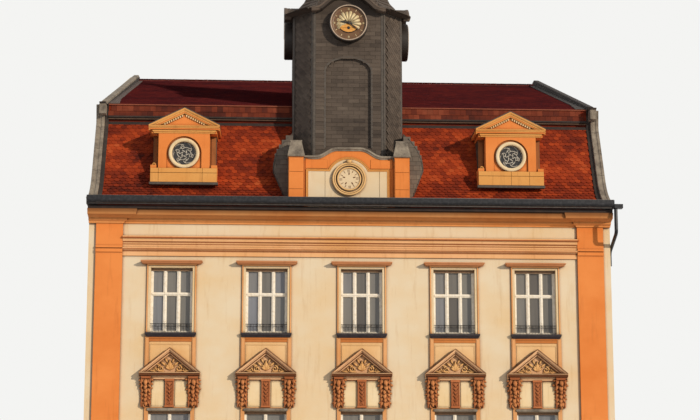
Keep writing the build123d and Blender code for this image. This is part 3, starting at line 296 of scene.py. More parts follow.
# Grey sheet for the gutter straps, and for bars that paint the gutter's highlights
greySheetAndHighlight = coat("weathered grey sheet and painted highlight", "#5a5654", 0.5, 0.3, wear="#74706c")
doorOak = coat("stained oak", "#5b3a22", 0.5, wear="#3f2616")


# Opaque panes: a grey that differs from pane to pane paints the reflections and the dim room behind, with
# faint folds of curtains
def windowGlass(name, shades):
    material, tree, shader = newMaterial(name)
    shade = addNode(tree, "ShaderNodeAttribute", {"attribute_name": "pieceShade"})
    paintedReflection = evenRamp(tree, shade.outputs["Fac"], shades)
    foldMask = ramp(tree, noise(tree, (0.11, 0.11, 1.6), 2.0), ((0.35, black), (0.7, grey(0.22))))
    colour = mix(tree, foldMask, paintedReflection, hexColour(shades[0]))
    shader.inputs["IOR"].default_value = 1.52
    finishShader(tree, shader, colour, 0.06, (noise(tree, (0.5, 0.5, 0.35), 1.0), 0.3, 0.003))
    return material


paneGlass = windowGlass("old window glass", ("#2c2826", "#56504a", "#77746e", "#7e828c"))

finishes = {
    creamRender: ("front_wall", "back_wall", "left_party_wall", "right_party_wall", "medallion"),
    orangeRender: ("pilasters", "string_course", "dormers", "attic_gable"),
    corniceRender: ("cornices",),
    tanStucco: (
        "second_floor_surrounds", "first_floor_surrounds", "ground_floor_surrounds", "window_pediments",
        "plinths",
    ),
    architraveTan: ("architrave",),
    terracotta: ("window_consoles",),
    copingStone: ("party_wall_copings", "gable_coping", "doorsteps"),
    floorPlaster: ("ground_floor_slab", "first_floor_slab", "second_floor_slab", "attic_floor_slab"),
    clayTiles: ("lower_roof_front", "lower_roof_back", "break_bands"),
    darkTiles: ("upper_roof_front", "upper_roof_back", "ridge_cap"),
    slates: ("tower_shaft", "tower_flanks", "tower_roof"),
    whitePaint: ("oculus_rings", "window_frames"),
    sillSheet: ("window_sills",),
    gutterSheet: ("gutters", "downpipes"),
    gilding: ("tower_finial",),
    drumPaint: ("clock_bezels",),
    dialPaint: ("clock_dials",),
    handPaint: tuple(n for n in nodes if n.endswith("_hand")),
    doorOak: ("door_frames", "door_leaves"),
    paneGlass: ("window_glass", "dormer_glass"),
}
for material, names in finishes.items():
    for name in names:
        nodes[name].data.materials.clear()
        nodes[name].data.materials.append(material)
print("finishes on the packed nodes")

# Meshes and pieces

# Frame for drawing on a surface: its origin, right, up and outward directions
def surface(origin, right, up):
    right, up = Vector(right).normalized(), Vector(up).normalized()
    return {"origin": Vector(origin), "right": right, "up": up, "out": right.cross(up)}


def at(frame3, u, v, out=0.0):
    return frame3["origin"] + frame3["right"] * u + frame3["up"] * v + frame3["out"] * out


facade = surface((0, house["front"], 0), (1, 0, 0), (0, 0, 1))
rear = surface((0, house["back"], 0), (-1, 0, 0), (0, 0, 1))


# Closed block from an outline on a surface, between two distances from it
def prismInto(bm, frame3, outline, near, far):
    back = [bm.verts.new(at(frame3, u, v, near)) for u, v in outline]
    front = [bm.verts.new(at(frame3, u, v, far)) for u, v in outline]
    bm.faces.new(front)
    bm.faces.new(list(reversed(back)))
    for i in range(len(outline)):
        j = (i + 1) % len(outline)
        bm.faces.new((back[i], back[j], front[j], front[i]))


def slabInto(bm, frame3, left, right, low, high, near, far):
    prismInto(bm, frame3, ((left, low), (right, low), (right, high), (left, high)), near, far)


# Block that reaches as far to the left of a middle line as to its right
def midSlabInto(bm, frame3, middle, half, low, high, near, far):
    slabInto(bm, frame3, middle - half, middle + half, low, high, near, far)


# Points along an arc; the angles are in degrees
def arc(cu, cv, radius, start, end, steps, squash=1.0):
    angles = [math.radians(start + (end - start) * i / steps) for i in range(steps + 1)]
    return [(cu + radius * math.cos(a), cv + radius * squash * math.sin(a)) for a in angles]


# Faces from each ring of points to the next, with a cap on both ends of an open run
def joinRings(bm, rings, closed=False, caps=True):
    for one, two in zip(rings, rings[1:] + rings[:1] if closed else rings[1:]):
        for k in range(len(one)):
            m = (k + 1) % len(one)
            bm.faces.new((one[k], one[m], two[m], two[k]))
    if caps and not closed:
        bm.faces.new(list(reversed(rings[0])))
        bm.faces.new(rings[-1])


# Moulding swept along a flat path with mitred corners; the section is (side, out)
def mouldingInto(bm, frame3, path, section, closed=False):
    count = len(path)
    points = [Vector(p) for p in path]
    rings = []
    for i, point in enumerate(points):
        before = points[i] - points[i - 1] if i > 0 or closed else points[1] - points[0]
        after = points[(i + 1) % count] - point if i < count - 1 or closed else before
        before, after = before.normalized(), after.normalized()
        sides = [Vector((-d.y, d.x)) for d in (before, after)]
        across = (sides[0] + sides[1]) / max(0.2, 1 + sides[0].dot(sides[1]))
        ring = []
        for side, out in section:
            spot = point + across * side
            ring.append(bm.verts.new(at(frame3, spot.x, spot.y, out)))
        rings.append(ring)
    joinRings(bm, rings, closed)


def circleInto(bm, frame3, cu, cv, radius, steps, section):
    mouldingInto(bm, frame3, arc(cu, cv, radius, 0, 360, steps)[:-1], section, closed=True)


def rectangleInto(bm, frame3, left, right, low, high, section):
    mouldingInto(bm, frame3, ((left, low), (right, low), (right, high), (left, high)), section, closed=True)


# Lathed form on a surface; the profile is (radius, out) from the rim in to the axis
def latheInto(bm, frame3, cu, cv, profile, steps, start=0.0):
    rings = []
    for radius, out in profile:
        if radius < 1e-6:
            rings.append([bm.verts.new(at(frame3, cu, cv, out))])
            continue
        ring = []
        for i in range(steps):
            a = start + 2 * math.pi * i / steps
            ring.append(bm.verts.new(at(frame3, cu + radius * math.cos(a), cv + radius * math.sin(a), out)))
        rings.append(ring)
    for one, two in zip(rings, rings[1:]):
        for i in range(steps):
            j = (i + 1) % steps
            if len(two) == 1:
                bm.faces.new((one[i], one[j], two[0]))
            elif len(one) == 1:
                bm.faces.new((one[0], two[j], two[i]))
            else:
                bm.faces.new((one[i], one[j], two[j], two[i]))
    return rings


# Round bar through a list of points in space
def barInto(bm, points, radius, sides=6, ends=True):
    points = [Vector(p) for p in points]
    rings = []
    for i, point in enumerate(points):
        before = points[max(i - 1, 0)]
        after = points[min(i + 1, len(points) - 1)]
        along = (after - before).normalized()
        helper = Vector((0, 0, 1)) if abs(along.z) < 0.9 else Vector((1, 0, 0))
        first = along.cross(helper).normalized()
        second = along.cross(first)
        thick = radius[i] if isinstance(radius, (list, tuple)) else radius
        ring = []
        for k in range(sides):
            a = 2 * math.pi * k / sides
            ring.append(bm.verts.new(point + (first * math.cos(a) + second * math.sin(a)) * thick))
        rings.append(ring)
    joinRings(bm, rings, caps=ends)


def addObject(name, data):
    item = bpy.data.objects.new(name, data)
    bpy.context.scene.collection.objects.link(item)
    return item


# Puts a finished mesh in the scene as a piece that rides on a body
def addPiece(name, bm, material, body=building, bevel=0.0, smooth=False, hides=()):
    bmesh.ops.recalc_face_normals(bm, faces=bm.faces)
    mesh = bpy.data.meshes.new(name)
    bm.to_mesh(mesh)
    bm.free()
    mesh.materials.append(material)
    if smooth:
        mesh.shade_smooth()
    piece = addObject(name, mesh)
    if bevel:
        rounding = piece.modifiers.new("rounded arrises", "BEVEL")
        rounding.width = bevel
        rounding.segments = 1
        rounding.limit_method = "ANGLE"
        rounding.angle_limit = math.radians(35)
        rounding.use_clamp_overlap = True
    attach(piece, body)
    if hides:
        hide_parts(*hides)
    return piece


# Node group that lays small plates on marked points, each with its own shade
def plateLayer():
    tree = bpy.data.node_groups.new("laid plates", "GeometryNodeTree")
    face = tree.interface
    sockets = {
        "Geometry": "Geometry", "Plate": "Object", "Lift": "Float", "Unevenness": "Float", "Seed": "Int",
        "Finish": "Material",
    }
    for name, kind in sockets.items():
        face.new_socket(name, in_out="INPUT", socket_type="NodeSocket" + kind)
    face.new_socket("Geometry", in_out="OUTPUT", socket_type="NodeSocketGeometry")
    entry = addNode(tree, "NodeGroupInput")
    plate = addNode(tree, "GeometryNodeObjectInfo", links={"Object": entry.outputs["Plate"]})
    named, vector = "GeometryNodeInputNamedAttribute", {"data_type": "FLOAT_VECTOR"}
    turn = addNode(tree, named, vector, {"Name": "turn"})
    spread = addNode(tree, named, vector, {"Name": "spread"})
    low = addNode(
        tree, "ShaderNodeMath", {"operation": "MULTIPLY"}, {1: -1.0}, {0: entry.outputs["Unevenness"]}
    )
    asFloat = {"data_type": "FLOAT"}
    limits = {2: low.outputs[0], 3: entry.outputs["Unevenness"], "Seed": entry.outputs["Seed"]}
    wobble = addNode(tree, "FunctionNodeRandomValue", asFloat, links=limits)
    wobbleTurn = addNode(tree, "ShaderNodeCombineXYZ", links={0: wobble.outputs[1], 2: wobble.outputs[1]})
    turned = addNode(tree, "FunctionNodeEulerToRotation", links={0: turn.outputs[0]})
    wires = {
        "Points": entry.outputs["Geometry"], "Instance": plate.outputs["Geometry"],
        "Rotation": turned.outputs[0], "Scale": spread.outputs[0],
    }
    instances = addNode(tree, "GeometryNodeInstanceOnPoints", links=wires)
    wires = {"Instances": instances.outputs[0], "Rotation": wobbleTurn.outputs[0]}
    swayed = addNode(tree, "GeometryNodeRotateInstances", links=wires)
    lift = addNode(tree, "ShaderNodeCombineXYZ", links={2: entry.outputs["Lift"]})
    wires = {"Instances": swayed.outputs[0], "Translation": lift.outputs[0]}
    raised = addNode(tree, "GeometryNodeTranslateInstances", links=wires)
    seed = {"Seed": entry.outputs["Seed"]}
    shade = addNode(tree, "FunctionNodeRandomValue", asFloat, {2: 0.0, 3: 1.0}, seed)
    stored = addNode(
        tree,
        "GeometryNodeStoreNamedAttribute",
        {"data_type": "FLOAT", "domain": "INSTANCE"},
        {"Name": "pieceShade"},
        {"Geometry": raised.outputs[0], "Value": shade.outputs[1]},
    )
    real = addNode(tree, "GeometryNodeRealizeInstances", links={0: stored.outputs[0]})
    finished = addNode(
        tree, "GeometryNodeSetMaterial", links={
            "Geometry": real.outputs[0], "Material": entry.outputs["Finish"]
        }
    )
    addNode(tree, "NodeGroupOutput", links={0: finished.outputs[0]})
    return tree


platesTree = plateLayer()


# Turn that lays a plate on a slope: right stays level, up runs up the slope
def layTurn(right, up):
    right, up = Vector(right).normalized(), Vector(up).normalized()
    return Matrix((right, up, right.cross(up))).transposed().to_euler()


patterns = []


# Thin plate with a rounded or square lower edge; its origin is the middle of that edge
def plateMesh(name, width, length, thickness, rounded, tilt=0.0, worn=0.0):
    bm = bmesh.new()
    if rounded:
        drop = width * 0.28
        edge = [
            (-width / 2, drop), (-width * 0.3, drop * 0.25), (0, 0), (width * 0.3, drop * 0.25),
            (width / 2, drop)
        ]
    else:
        edge = [(-width / 2, 0), (width / 2, 0)]
    outline = edge + [(width / 2, length), (-width / 2, length)]
    flat = surface((0, 0, 0), (1, 0, 0), (0, 1, 0))
    prismInto(bm, flat, outline, 0, thickness)
    for vert in bm.verts:
        vert.co.z += tilt * (1 - vert.co.y / length)
    bmesh.ops.recalc_face_normals(bm, faces=bm.faces)
    wornEdge = bm.faces.layers.float.new("wornEdge")
    for face in bm.faces:
        face[wornEdge] = worn if face.normal.y < -0.5 else 0.0
    mesh = bpy.data.meshes.new(name)
    bm.to_mesh(mesh)
    bm.free()
    plate = addObject(name, mesh)
    patterns.append(plate)
    return plate


# Lays plates on spots given as (position, turn, width factor) and returns one plain piece
def layPlates(name, spots, plate, material, lift, unevenness, seed):
    base = bpy.data.meshes.new(name + "Spots")
    base.from_pydata([s[0] for s in spots], [], [])
    turns = base.attributes.new("turn", "FLOAT_VECTOR", "POINT")
    spreads = base.attributes.new("spread", "FLOAT_VECTOR", "POINT")
    for i, (_, turn, width) in enumerate(spots):
        turns.data[i].vector = tuple(turn)
        spreads.data[i].vector = (width, 1, 1)
    carrier = addObject(name + "Spots", base)
    layer = carrier.modifiers.new("laid plates", "NODES")
    layer.node_group = platesTree
    sockets = {s.name: s.identifier for s in platesTree.interface.items_tree if s.in_out == "INPUT"}
    layer[sockets["Plate"]] = plate
    layer[sockets["Lift"]] = lift
    layer[sockets["Unevenness"]] = unevenness
    layer[sockets["Seed"]] = seed
    layer[sockets["Finish"]] = material
    made = carrier.evaluated_get(bpy.context.evaluated_depsgraph_get())
    mesh = bpy.data.meshes.new_from_object(made)
    bpy.data.objects.remove(carrier)
    mesh.name = name
    piece = addObject(name, mesh)
    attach(piece, building)
    print(name, len(spots), "plates,", sum(len(p.vertices) - 2 for p in mesh.polygons), "triangles")
    return piece


# Roof tiles

roof = {
    "tileWidth": 0.16, "tileGap": 0.004, "tileThickness": 0.015, "tileTilt": 0.02, "course": 0.112,
    "upperCourse": 0.15, "lift": 0.002, "eaveTip": (
        -0.52, 12.87
    ), "bell": (0.67, 13.85), "break": (1.43, 15.62),
    "bandFoot": 15.88, "bandDepth": 1.35, "bandTop": 16.2, "ridge": (10.5, 19.6),
    "half": 7.1, "tileHalf": 7.21, "seed": 7,
}
roofSides = ((-1, "Front"), (1, "Back"))


# Depth and height along the bell-cast foot, tangent to the straight slope
def bellCurve(steps):
    bell, tip = Vector(roof["bell"]), Vector(roof["eaveTip"])
    heading = (bell - Vector(roof["break"])).normalized()
    normal = Vector((-heading.y, heading.x))
    chord = tip - bell
    radius = chord.length_squared / (2 * chord.dot(normal))
    centre = bell + normal * radius
    first = math.atan2(bell.y - centre.y, bell.x - centre.x)
    last = math.atan2(tip.y - centre.y, tip.x - centre.x)
    sweep = (last - first + math.pi) % (2 * math.pi) - math.pi
    points = []
    for i in range(steps + 1):
        a = last - sweep * i / steps
        points.append((centre.x + abs(radius) * math.cos(a), centre.y + abs(radius) * math.sin(a)))
    return points


# Points every given distance along a profile, each with its direction
def paces(profile, step, first=0.0):
    spots = []
    travelled = -first
    for (d1, z1), (d2, z2) in zip(profile, profile[1:]):
        run = Vector((d2 - d1, z2 - z1))
        length = run.length
        while travelled < length:
            if travelled >= 0:
                spot = Vector((d1, z1)) + run * (travelled / length)
                spots.append((spot.x, spot.y, run.normalized()))
            travelled += step
        travelled -= length
    return spots


# Front slopes look at -Y, back slopes at +Y
def slopeSpots(profile, side, half, course, blocked=None, first=0.0):
    spots = []
    pitch = roof["tileWidth"] + roof["tileGap"]
    across = int(2 * half / pitch)
    for row, (depth, height, heading) in enumerate(paces(profile, course, first)):
        y = (house["front"] + depth) if side < 0 else -(house["front"] + depth)
        right = (1, 0, 0) if side < 0 else (-1, 0, 0)
        up = (0, heading.x if side < 0 else -heading.x, heading.y)
        turn = layTurn(right, up)
        stagger = 0.5 if row % 2 else 0.0
        for column in range(across + (0 if row % 2 else 1)):
            x = -half + pitch * (column + stagger + 0.5)
            if x + pitch / 2 > half or x - pitch / 2 < -half:
                continue
            if blocked and blocked(x, depth, height):
                continue
            spots.append(((x, y, height), turn, 1.0))
    return spots


tower = {"axisX": -0.08, "axisY": -8.66, "half": 1.59, "chamfer": 0.57, "eave": 18.8, "tileLap": -0.08}


def insideTower(x, y, margin):
    u, v = abs(x - tower["axisX"]), abs(y - tower["axisY"])
    half = tower["half"] + margin
    return u < half and v < half and u + v < 2 * tower["half"] - tower["chamfer"] + margin * 1.5


def lowerBlocked(x, depth, height):
    behindGable = abs(x - tower["axisX"]) < 1.74 and height < 14.35 and depth < 0.2
    return insideTower(x, deep(depth), tower["tileLap"]) or behindGable


def upperBlocked(x, depth, height):
    return insideTower(x, deep(depth), tower["tileLap"])


lowerProfile = bellCurve(14) + [roof["break"]]
upperProfile = [(roof["bandDepth"], roof["bandTop"]), roof["ridge"]]
tileWidth, thick, tilt = roof["tileWidth"], roof["tileThickness"], roof["tileTilt"]
clayPlate = plateMesh("clayPlate", tileWidth, roof["course"] * 1.5, thick, True, tilt)
plainPlate = plateMesh("plainPlate", tileWidth, roof["upperCourse"] * 1.3, thick, False, tilt)

for i, (side, frontBack) in enumerate(roofSides):
    blocked = lowerBlocked if side < 0 else None
    spots = slopeSpots(lowerProfile, side, roof["tileHalf"], roof["course"], blocked)
    name = "lowerTiles" + frontBack
    layPlates(name, spots, clayPlate, clayTiles, roof["lift"], 0.012, roof["seed"] + i)
for i, (side, frontBack) in enumerate(roofSides):
    blocked = upperBlocked if side < 0 else None
    spots = slopeSpots(upperProfile, side, roof["half"], roof["upperCourse"], blocked, 0.02)
    name = "upperTiles" + frontBack
    layPlates(name, spots, plainPlate, darkTiles, roof["lift"], 0.01, roof["seed"] + 2 + i)
print("roof tiles laid")

# Tile-hung band between the slopes, a capping board over it, and the ridge
band = {"course": 0.155, "ridgeLength": 0.4, "ridgeRadius": 0.13, "seed": 31}


def bandSpots(side):
    spots = []
    pitch = roof["tileWidth"] + roof["tileGap"]
    right = (1, 0, 0) if side < 0 else (-1, 0, 0)
    turn = layTurn(right, (0, 0, 1))
    y = (house["front"] + roof["bandDepth"]) if side < 0 else -(house["front"] + roof["bandDepth"])
    for row in range(2):
        height = roof["bandFoot"] - 0.02 + row * band["course"]
        for column in range(int(2 * roof["half"] / pitch) - row):
            x = -roof["half"] + pitch * (column + 0.5 + 0.5 * row)
            if side < 0 and insideTower(x, y, -0.05):
                continue
            spots.append(((x, y, height), turn, 1.0))
    return spots


bandPlate = plateMesh("bandPlate", roof["tileWidth"], band["course"] * 1.05, 0.014, False, 0.014)
for i, (side, frontBack) in enumerate(roofSides):
    name = "bandTiles" + frontBack
    layPlates(name, bandSpots(side), bandPlate, bandTiles, 0.001, 0.008, band["seed"] + i)

# Ridge tiles: half rounds, each lapping the next
bm = bmesh.new()
x = -roof["half"] + 0.02
random.seed(5)
while x < roof["half"] - 0.05:
    end = min(x + band["ridgeLength"] * 1.08, roof["half"] - 0.01)
    lift = random.uniform(0, 0.012)
    for radius, start, stop in (
        (band["ridgeRadius"], x, end), (band["ridgeRadius"] + 0.018, end - 0.06, end)
    ):
        outer = arc(0, 0, radius, -15, 195, 10)
        inner = arc(0, 0, radius - 0.02, 195, -15, 10)
        sideways = surface((start, 0, roof["ridge"][1] - 0.045 + lift), (0, 1, 0), (0, 0, 1))
        prismInto(bm, sideways, outer + inner, 0, stop - start)
    x += band["ridgeLength"]
addPiece("ridgeTiles", bm, ridgeClay)

# Capping over the band, and the near-black boards and the pale fillet under it; the upper board paints the
# shade line under the band
for side, frontBack in roofSides:
    bm, capping, pale = bmesh.new(), bmesh.new(), bmesh.new()
    frame3 = facade if side < 0 else rear
    depth = -roof["bandDepth"]
    spans = [(-roof["half"], roof["half"])]
    if side < 0:
        spans = [
            (-roof["half"], tower["axisX"] - tower["half"]), (tower["axisX"] + tower["half"], roof["half"])
        ]
    for left, right in spans:
        top, foot, low = roof["bandTop"], roof["bandFoot"], roof["break"][1]
        slabInto(capping, frame3, left, right, top - 0.01, top + 0.022, depth - 0.12, depth + 0.05)
        slabInto(bm, frame3, left, right, foot - 0.06, foot - 0.005, depth - 0.09, depth + 0.035)
        slabInto(pale, frame3, left, right, foot - 0.105, foot - 0.075, depth - 0.1, depth + 0.01)
        slabInto(bm, frame3, left, right, low, low + 0.09, depth - 0.12, depth - 0.045)
    addPiece("breakBoards" + frontBack, bm, tarredBoardAndShade, bevel=0.006)
    addPiece("breakCapping" + frontBack, capping, cappingClay, bevel=0.006)
    addPiece("breakFillet" + frontBack, pale, mossBoard, bevel=0.004)
print("band and ridge done")

# Slates of the tower
slate = {
    "width": 0.3, "course": 0.118, "thickness": 0.012, "tilt": 0.012, "seed": 11,
    "panelHalf": 0.66, "panelFoot": 14.7, "panelSpring": 17.0, "panelCrown": 17.39, "panelDepth": 0.09,
    "cornerWidth": 0.07,
}


# Splits one course into slates, staggered every other row
def courseParts(left, right, width, odd):
    span = right - left
    if span < 0.05:
        return []
    count = max(1, round(span / width))
    pitch = span / count
    if odd and count > 1:
        edges = [left] + [left + pitch * (i + 0.5) for i in range(count)] + [right]
    else:
        edges = [left + pitch * i for i in range(count + 1)]
    return [((a + b) / 2, b - a) for a, b in zip(edges, edges[1:])]


def panelHalfAt(z):
    if z < slate["panelFoot"] or z > slate["panelCrown"]:
        return 0
    if z <= slate["panelSpring"]:
        return slate["panelHalf"]
    up = (z - slate["panelSpring"]) / (slate["panelCrown"] - slate["panelSpring"])
    return slate["panelHalf"] * math.sqrt(max(0, 1 - up * up))


# One course across a plane, as plates
def laySpan(spots, frame3, left, right, v, out, odd, width):
    turn = layTurn(frame3["right"], frame3["up"])
    for middle, wide in courseParts(left, right, width, odd):
        spots.append((at(frame3, middle, v, out), turn, (wide - 0.006) / width))


towerFaces = []
for k in range(8):
    angle = math.radians(45 * k - 90)
    outward = Vector((math.cos(angle), math.sin(angle), 0))
    right = Vector((0, 0, 1)).cross(outward)
    towerFaces.append((k, outward, right))


# Distance from the axis and half width of face k where the tower is this wide
def faceSize(k, half):
    cut = tower["chamfer"] * half / tower["half"]
    if k % 2 == 0:
        return half, half - cut
    return (2 * half - cut) / math.sqrt(2), cut / math.sqrt(2)


# Level where the slates of tower face k start, which is higher on faces 3, 4 and 5
def towerFoot(k):
    return 13.0 if k in (0, 1, 7, 2, 6) else 16.2


axis = Vector((tower["axisX"], tower["axisY"], 0))
squareSpots, slantSpots = [], []
for k, outward, right in towerFaces:
    distance, halfWidth = faceSize(k, tower["half"])
    face = surface(axis + outward * distance, right, (0, 0, 1))
    foot = towerFoot(k)
    top = tower["eave"] - 0.05
    if k % 2 == 0:
        rows = int((top - foot) / slate["course"])
        for row in range(rows):
            z = foot + row * slate["course"]
            inset = halfWidth - slate["cornerWidth"]
            hole = panelHalfAt(z + slate["course"] / 2) if k == 0 else 0
            if hole > 0.05:
                laySpan(squareSpots, face, -inset, -hole - 0.012, z, 0, row % 2, slate["width"])
                laySpan(squareSpots, face, hole + 0.012, inset, z, 0, row % 2, slate["width"])
                laySpan(
                    squareSpots, face, -hole + 0.01, hole - 0.01, z, -slate["panelDepth"], row % 2,
                    slate["width"]
                )
            else:
                laySpan(squareSpots, face, -inset, inset, z, 0, row % 2, slate["width"])
    else:
        # The cut corners are slated on the slant, falling to the right
        slant = math.radians(-45)
        along = face["right"] * math.cos(slant) + face["up"] * math.sin(slant)
        across = face["out"].cross(along)
        step, width = 0.105, 0.15
        inset = halfWidth - slate["cornerWidth"] * 0.9
        for row in range(int((top - foot + 0.6) / step)):
            for column in range(-4, 5):
                shift = (column + (0.5 if row % 2 else 0)) * width
                spot = face["origin"] + Vector((0, 0, foot + row * step * 1.09)) + along * shift
                local = (spot - face["origin"]).dot(face["right"])
                if abs(local) < inset - width * 0.35 and foot - 0.1 < spot.z < top - 0.12:
                    slantSpots.append((spot, layTurn(along, across), 1.0))

slatePlate = plateMesh(
    "slatePlate", slate["width"], slate["course"] * 1.25, slate["thickness"], False, slate["tilt"], 0.7
)
slantPlate = plateMesh("slantPlate", 0.15, 0.135, slate["thickness"], False, 0.018, 0.8)
layPlates("towerSlates", squareSpots, slatePlate, slates, 0.001, 0.006, slate["seed"])
layPlates("cornerSlates", slantSpots, slantPlate, slates, 0.001, 0.02, slate["seed"] + 1)

# Cover strips down the eight edges of the shaft
bm = bmesh.new()
for k, outward, right in towerFaces:
    distance, halfWidth = faceSize(k, tower["half"])
    face = surface(axis + outward * distance, right, (0, 0, 1))
    foot = towerFoot(k)
    for side in (-1, 1):
        edge = side * halfWidth
        inner = edge - side * slate["cornerWidth"]
        slabInto(bm, face, min(edge, inner), max(edge, inner), foot, tower["eave"] - 0.02, -0.004, 0.022)
panelArc = arc(
    0, slate["panelSpring"], slate["panelHalf"], 180, 0, 20,
    (slate["panelCrown"] - slate["panelSpring"]) / slate["panelHalf"]
)
panelLine = [
    (-slate["panelHalf"], slate["panelFoot"])
] + panelArc + [(slate["panelHalf"], slate["panelFoot"])]
frontFace = surface(axis + Vector((0, -tower["half"], 0)), (1, 0, 0), (0, 0, 1))
mouldingInto(
    bm, frontFace, panelLine, ((-0.012, -0.02), (-0.012, 0.02), (0.045, 0.024), (0.055, 0.0), (0.055, -0.02))
)
addPiece("cornerStrips", bm, leadStrip, bevel=0.004)
print("tower shaft slated")

# Bell-shaped roof of the tower, slated ring by ring
bell = {
    "rings": ((1.86, 0), (1.47, 0.24), (1.26, 0.52), (1.03, 1.1), (0.7, 1.8), (0.44, 2.35), (0.29, 2.75)),
    "hoodHalf": 1.08, "hoodLength": 0.9, "mouth": 0.27, "course": 0.15,
}

# Line of the hood over the front clock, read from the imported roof: distance from the middle and height
crest = {}
for v in nodes["tower_roof"].data.vertices:
    u, up = round(v.co.x - tower["axisX"], 2), round(v.co.z - tower["eave"], 4)
    atMouth = abs(v.co.y - (tower["axisY"] - tower["half"] - bell["mouth"])) < 1e-3
    if atMouth and abs(u) <= bell["hoodHalf"] + 1e-3 and up > -1e-3:
        crest[u] = max(up, crest.get(u, 0))
# The hood's underside lies below the crest and is left out
hoodLine = sorted(
    (u, up) for u, up in crest.items() if all(up > v - 0.05 for w, v in crest.items() if abs(w - u) < 0.04)
)


# Height of a line of (distance, height) points at a distance
def lineAt(line, u):
    for (u1, v1), (u2, v2) in zip(line, line[1:]):
        if u1 <= u <= u2:
            return v1 + (v2 - v1) * (u - u1) / max(u2 - u1, 1e-6)
    return 0.0


print("hood line of", len(hoodLine), "points, crown", max(v for u, v in hoodLine))
bellSpots = []
upperHood = [(u, v) for u, v in hoodLine if u >= 0]
for k, outward, right in towerFaces:
    row = 0
    for (half1, up1), (half2, up2) in zip(bell["rings"], bell["rings"][1:]):
        far1, wide1 = faceSize(k, half1)
        far2, wide2 = faceSize(k, half2)
        low = axis + outward * far1 + Vector((0, 0, tower["eave"] + up1))
        high = axis + outward * far2 + Vector((0, 0, tower["eave"] + up2))
        slope = high - low
        face = surface(low, right, slope)
        count = max(1, round(slope.length / bell["course"]))
        for i in range(count):
            v = slope.length * i / count
            half = wide1 + (wide2 - wide1) * (i + 0.4) / count - 0.02
            z = low.z + face["up"].z * v
            hood = 0
            reach = (tower["half"] + bell["mouth"]) - (far1 + face["up"].dot(outward) * v)
            if k in (0, 2, 6) and reach < bell["hoodLength"]:
                inside = [u for u, up in upperHood if up > z - tower["eave"] + 0.02]
                hood = max(inside) if inside else 0
            if hood > 0.05:
                laySpan(bellSpots, face, -half, -hood - 0.01, v, 0, row % 2, 0.2)
                laySpan(bellSpots, face, hood + 0.01, half, v, 0, row % 2, 0.2)
            else:
                laySpan(bellSpots, face, -half, half, v, 0, row % 2, 0.2)
            row += 1
# Hoods over the clocks, slated along their flowing line
for k in (0, 2, 6):
    k, outward, right = towerFaces[k]
    mouth = axis + outward * (tower["half"] + bell["mouth"]) + Vector((0, 0, tower["eave"]))
    for side in (-1, 1):
        for i, (up, sideways, heading) in enumerate(paces([(v, u) for u, v in reversed(upperHood)], 0.14)):
            rising = Vector((0, 0, heading.x)) + right * (heading.y * side)
            base = mouth + right * (sideways * side) + Vector((0, 0, up))
            for j in range(5):
                spot = base - outward * (0.09 + j * 0.17 + (0.04 if i % 2 else 0))
                bellSpots.append((spot, layTurn(outward * -side, rising), 0.8))
bellPlate = plateMesh("bellPlate", 0.2, bell["course"] * 1.2, slate["thickness"], False, 0.012)
layPlates("bellSlates", bellSpots, bellPlate, slates, 0.001, 0.01, slate["seed"] + 2)

# Hips and hood mouldings in folded sheet
bm = bmesh.new()
for k, outward, right in towerFaces:
    hip = []
    for half, up in bell["rings"]:
        distance, halfWidth = faceSize(k, half)
        hip.append(
            axis + outward * (distance - 0.015) + right * halfWidth + Vector((0, 0, tower["eave"] + up))
        )
    barInto(bm, hip, 0.028, 6)
addPiece("bellHips", bm, leadStrip, smooth=True)
bm = bmesh.new()
for k in (0, 2, 6):
    k, outward, right = towerFaces[k]
    mouthFace = surface(
        axis + outward * (tower["half"] + bell["mouth"]) + Vector((0, 0, tower["eave"])), right, (0, 0, 1)
    )
    section = (
        (-0.075, -0.2), (
            -0.075, -0.03
        ), (-0.05, -0.004), (-0.01, 0.0), (0.0, 0.012), (0.03, 0.014), (0.042, 0.0),
        (0.042, -0.05), (-0.02, -0.2),
    )
    mouldingInto(bm, mouthFace, hoodLine, section)
addPiece("hoodMouldings", bm, hoodSheet, bevel=0.003)
print("bell roof slated")

# Shapes that several dressings share

# Level cornice with mitred returns at both ends; steps are (out, height above the foot)
def corniceInto(bm, face, left, right, foot, steps, base=0.01):
    plan = surface(at(face, 0, foot), face["right"], face["out"])
    path = ((left, 0), (left, base), (right, base), (right, 0))
    top = steps[-1][1]
    section = [(-base * 0.9, 0)] + [(out, -up) for out, up in steps] + [(-base * 0.9, -top)]
    mouldingInto(bm, plan, path, section)
    slabInto(bm, face, left, right, foot, foot + top, 0, base)


# Two raking mouldings that meet at the top, cut off upright at their feet; section is (rise, out)
def rakeInto(bm, face, middle, foot, half, rise, section):
    lean = math.sqrt(1 + (rise / half) ** 2)
    rings = []
    for share in (-1, 0, 1):
        level = foot + rise * (1 - abs(share))
        rings.append(
            [bm.verts.new(at(face, middle + share * half, level + up * lean, out)) for up, out in section]
        )
    joinRings(bm, rings)


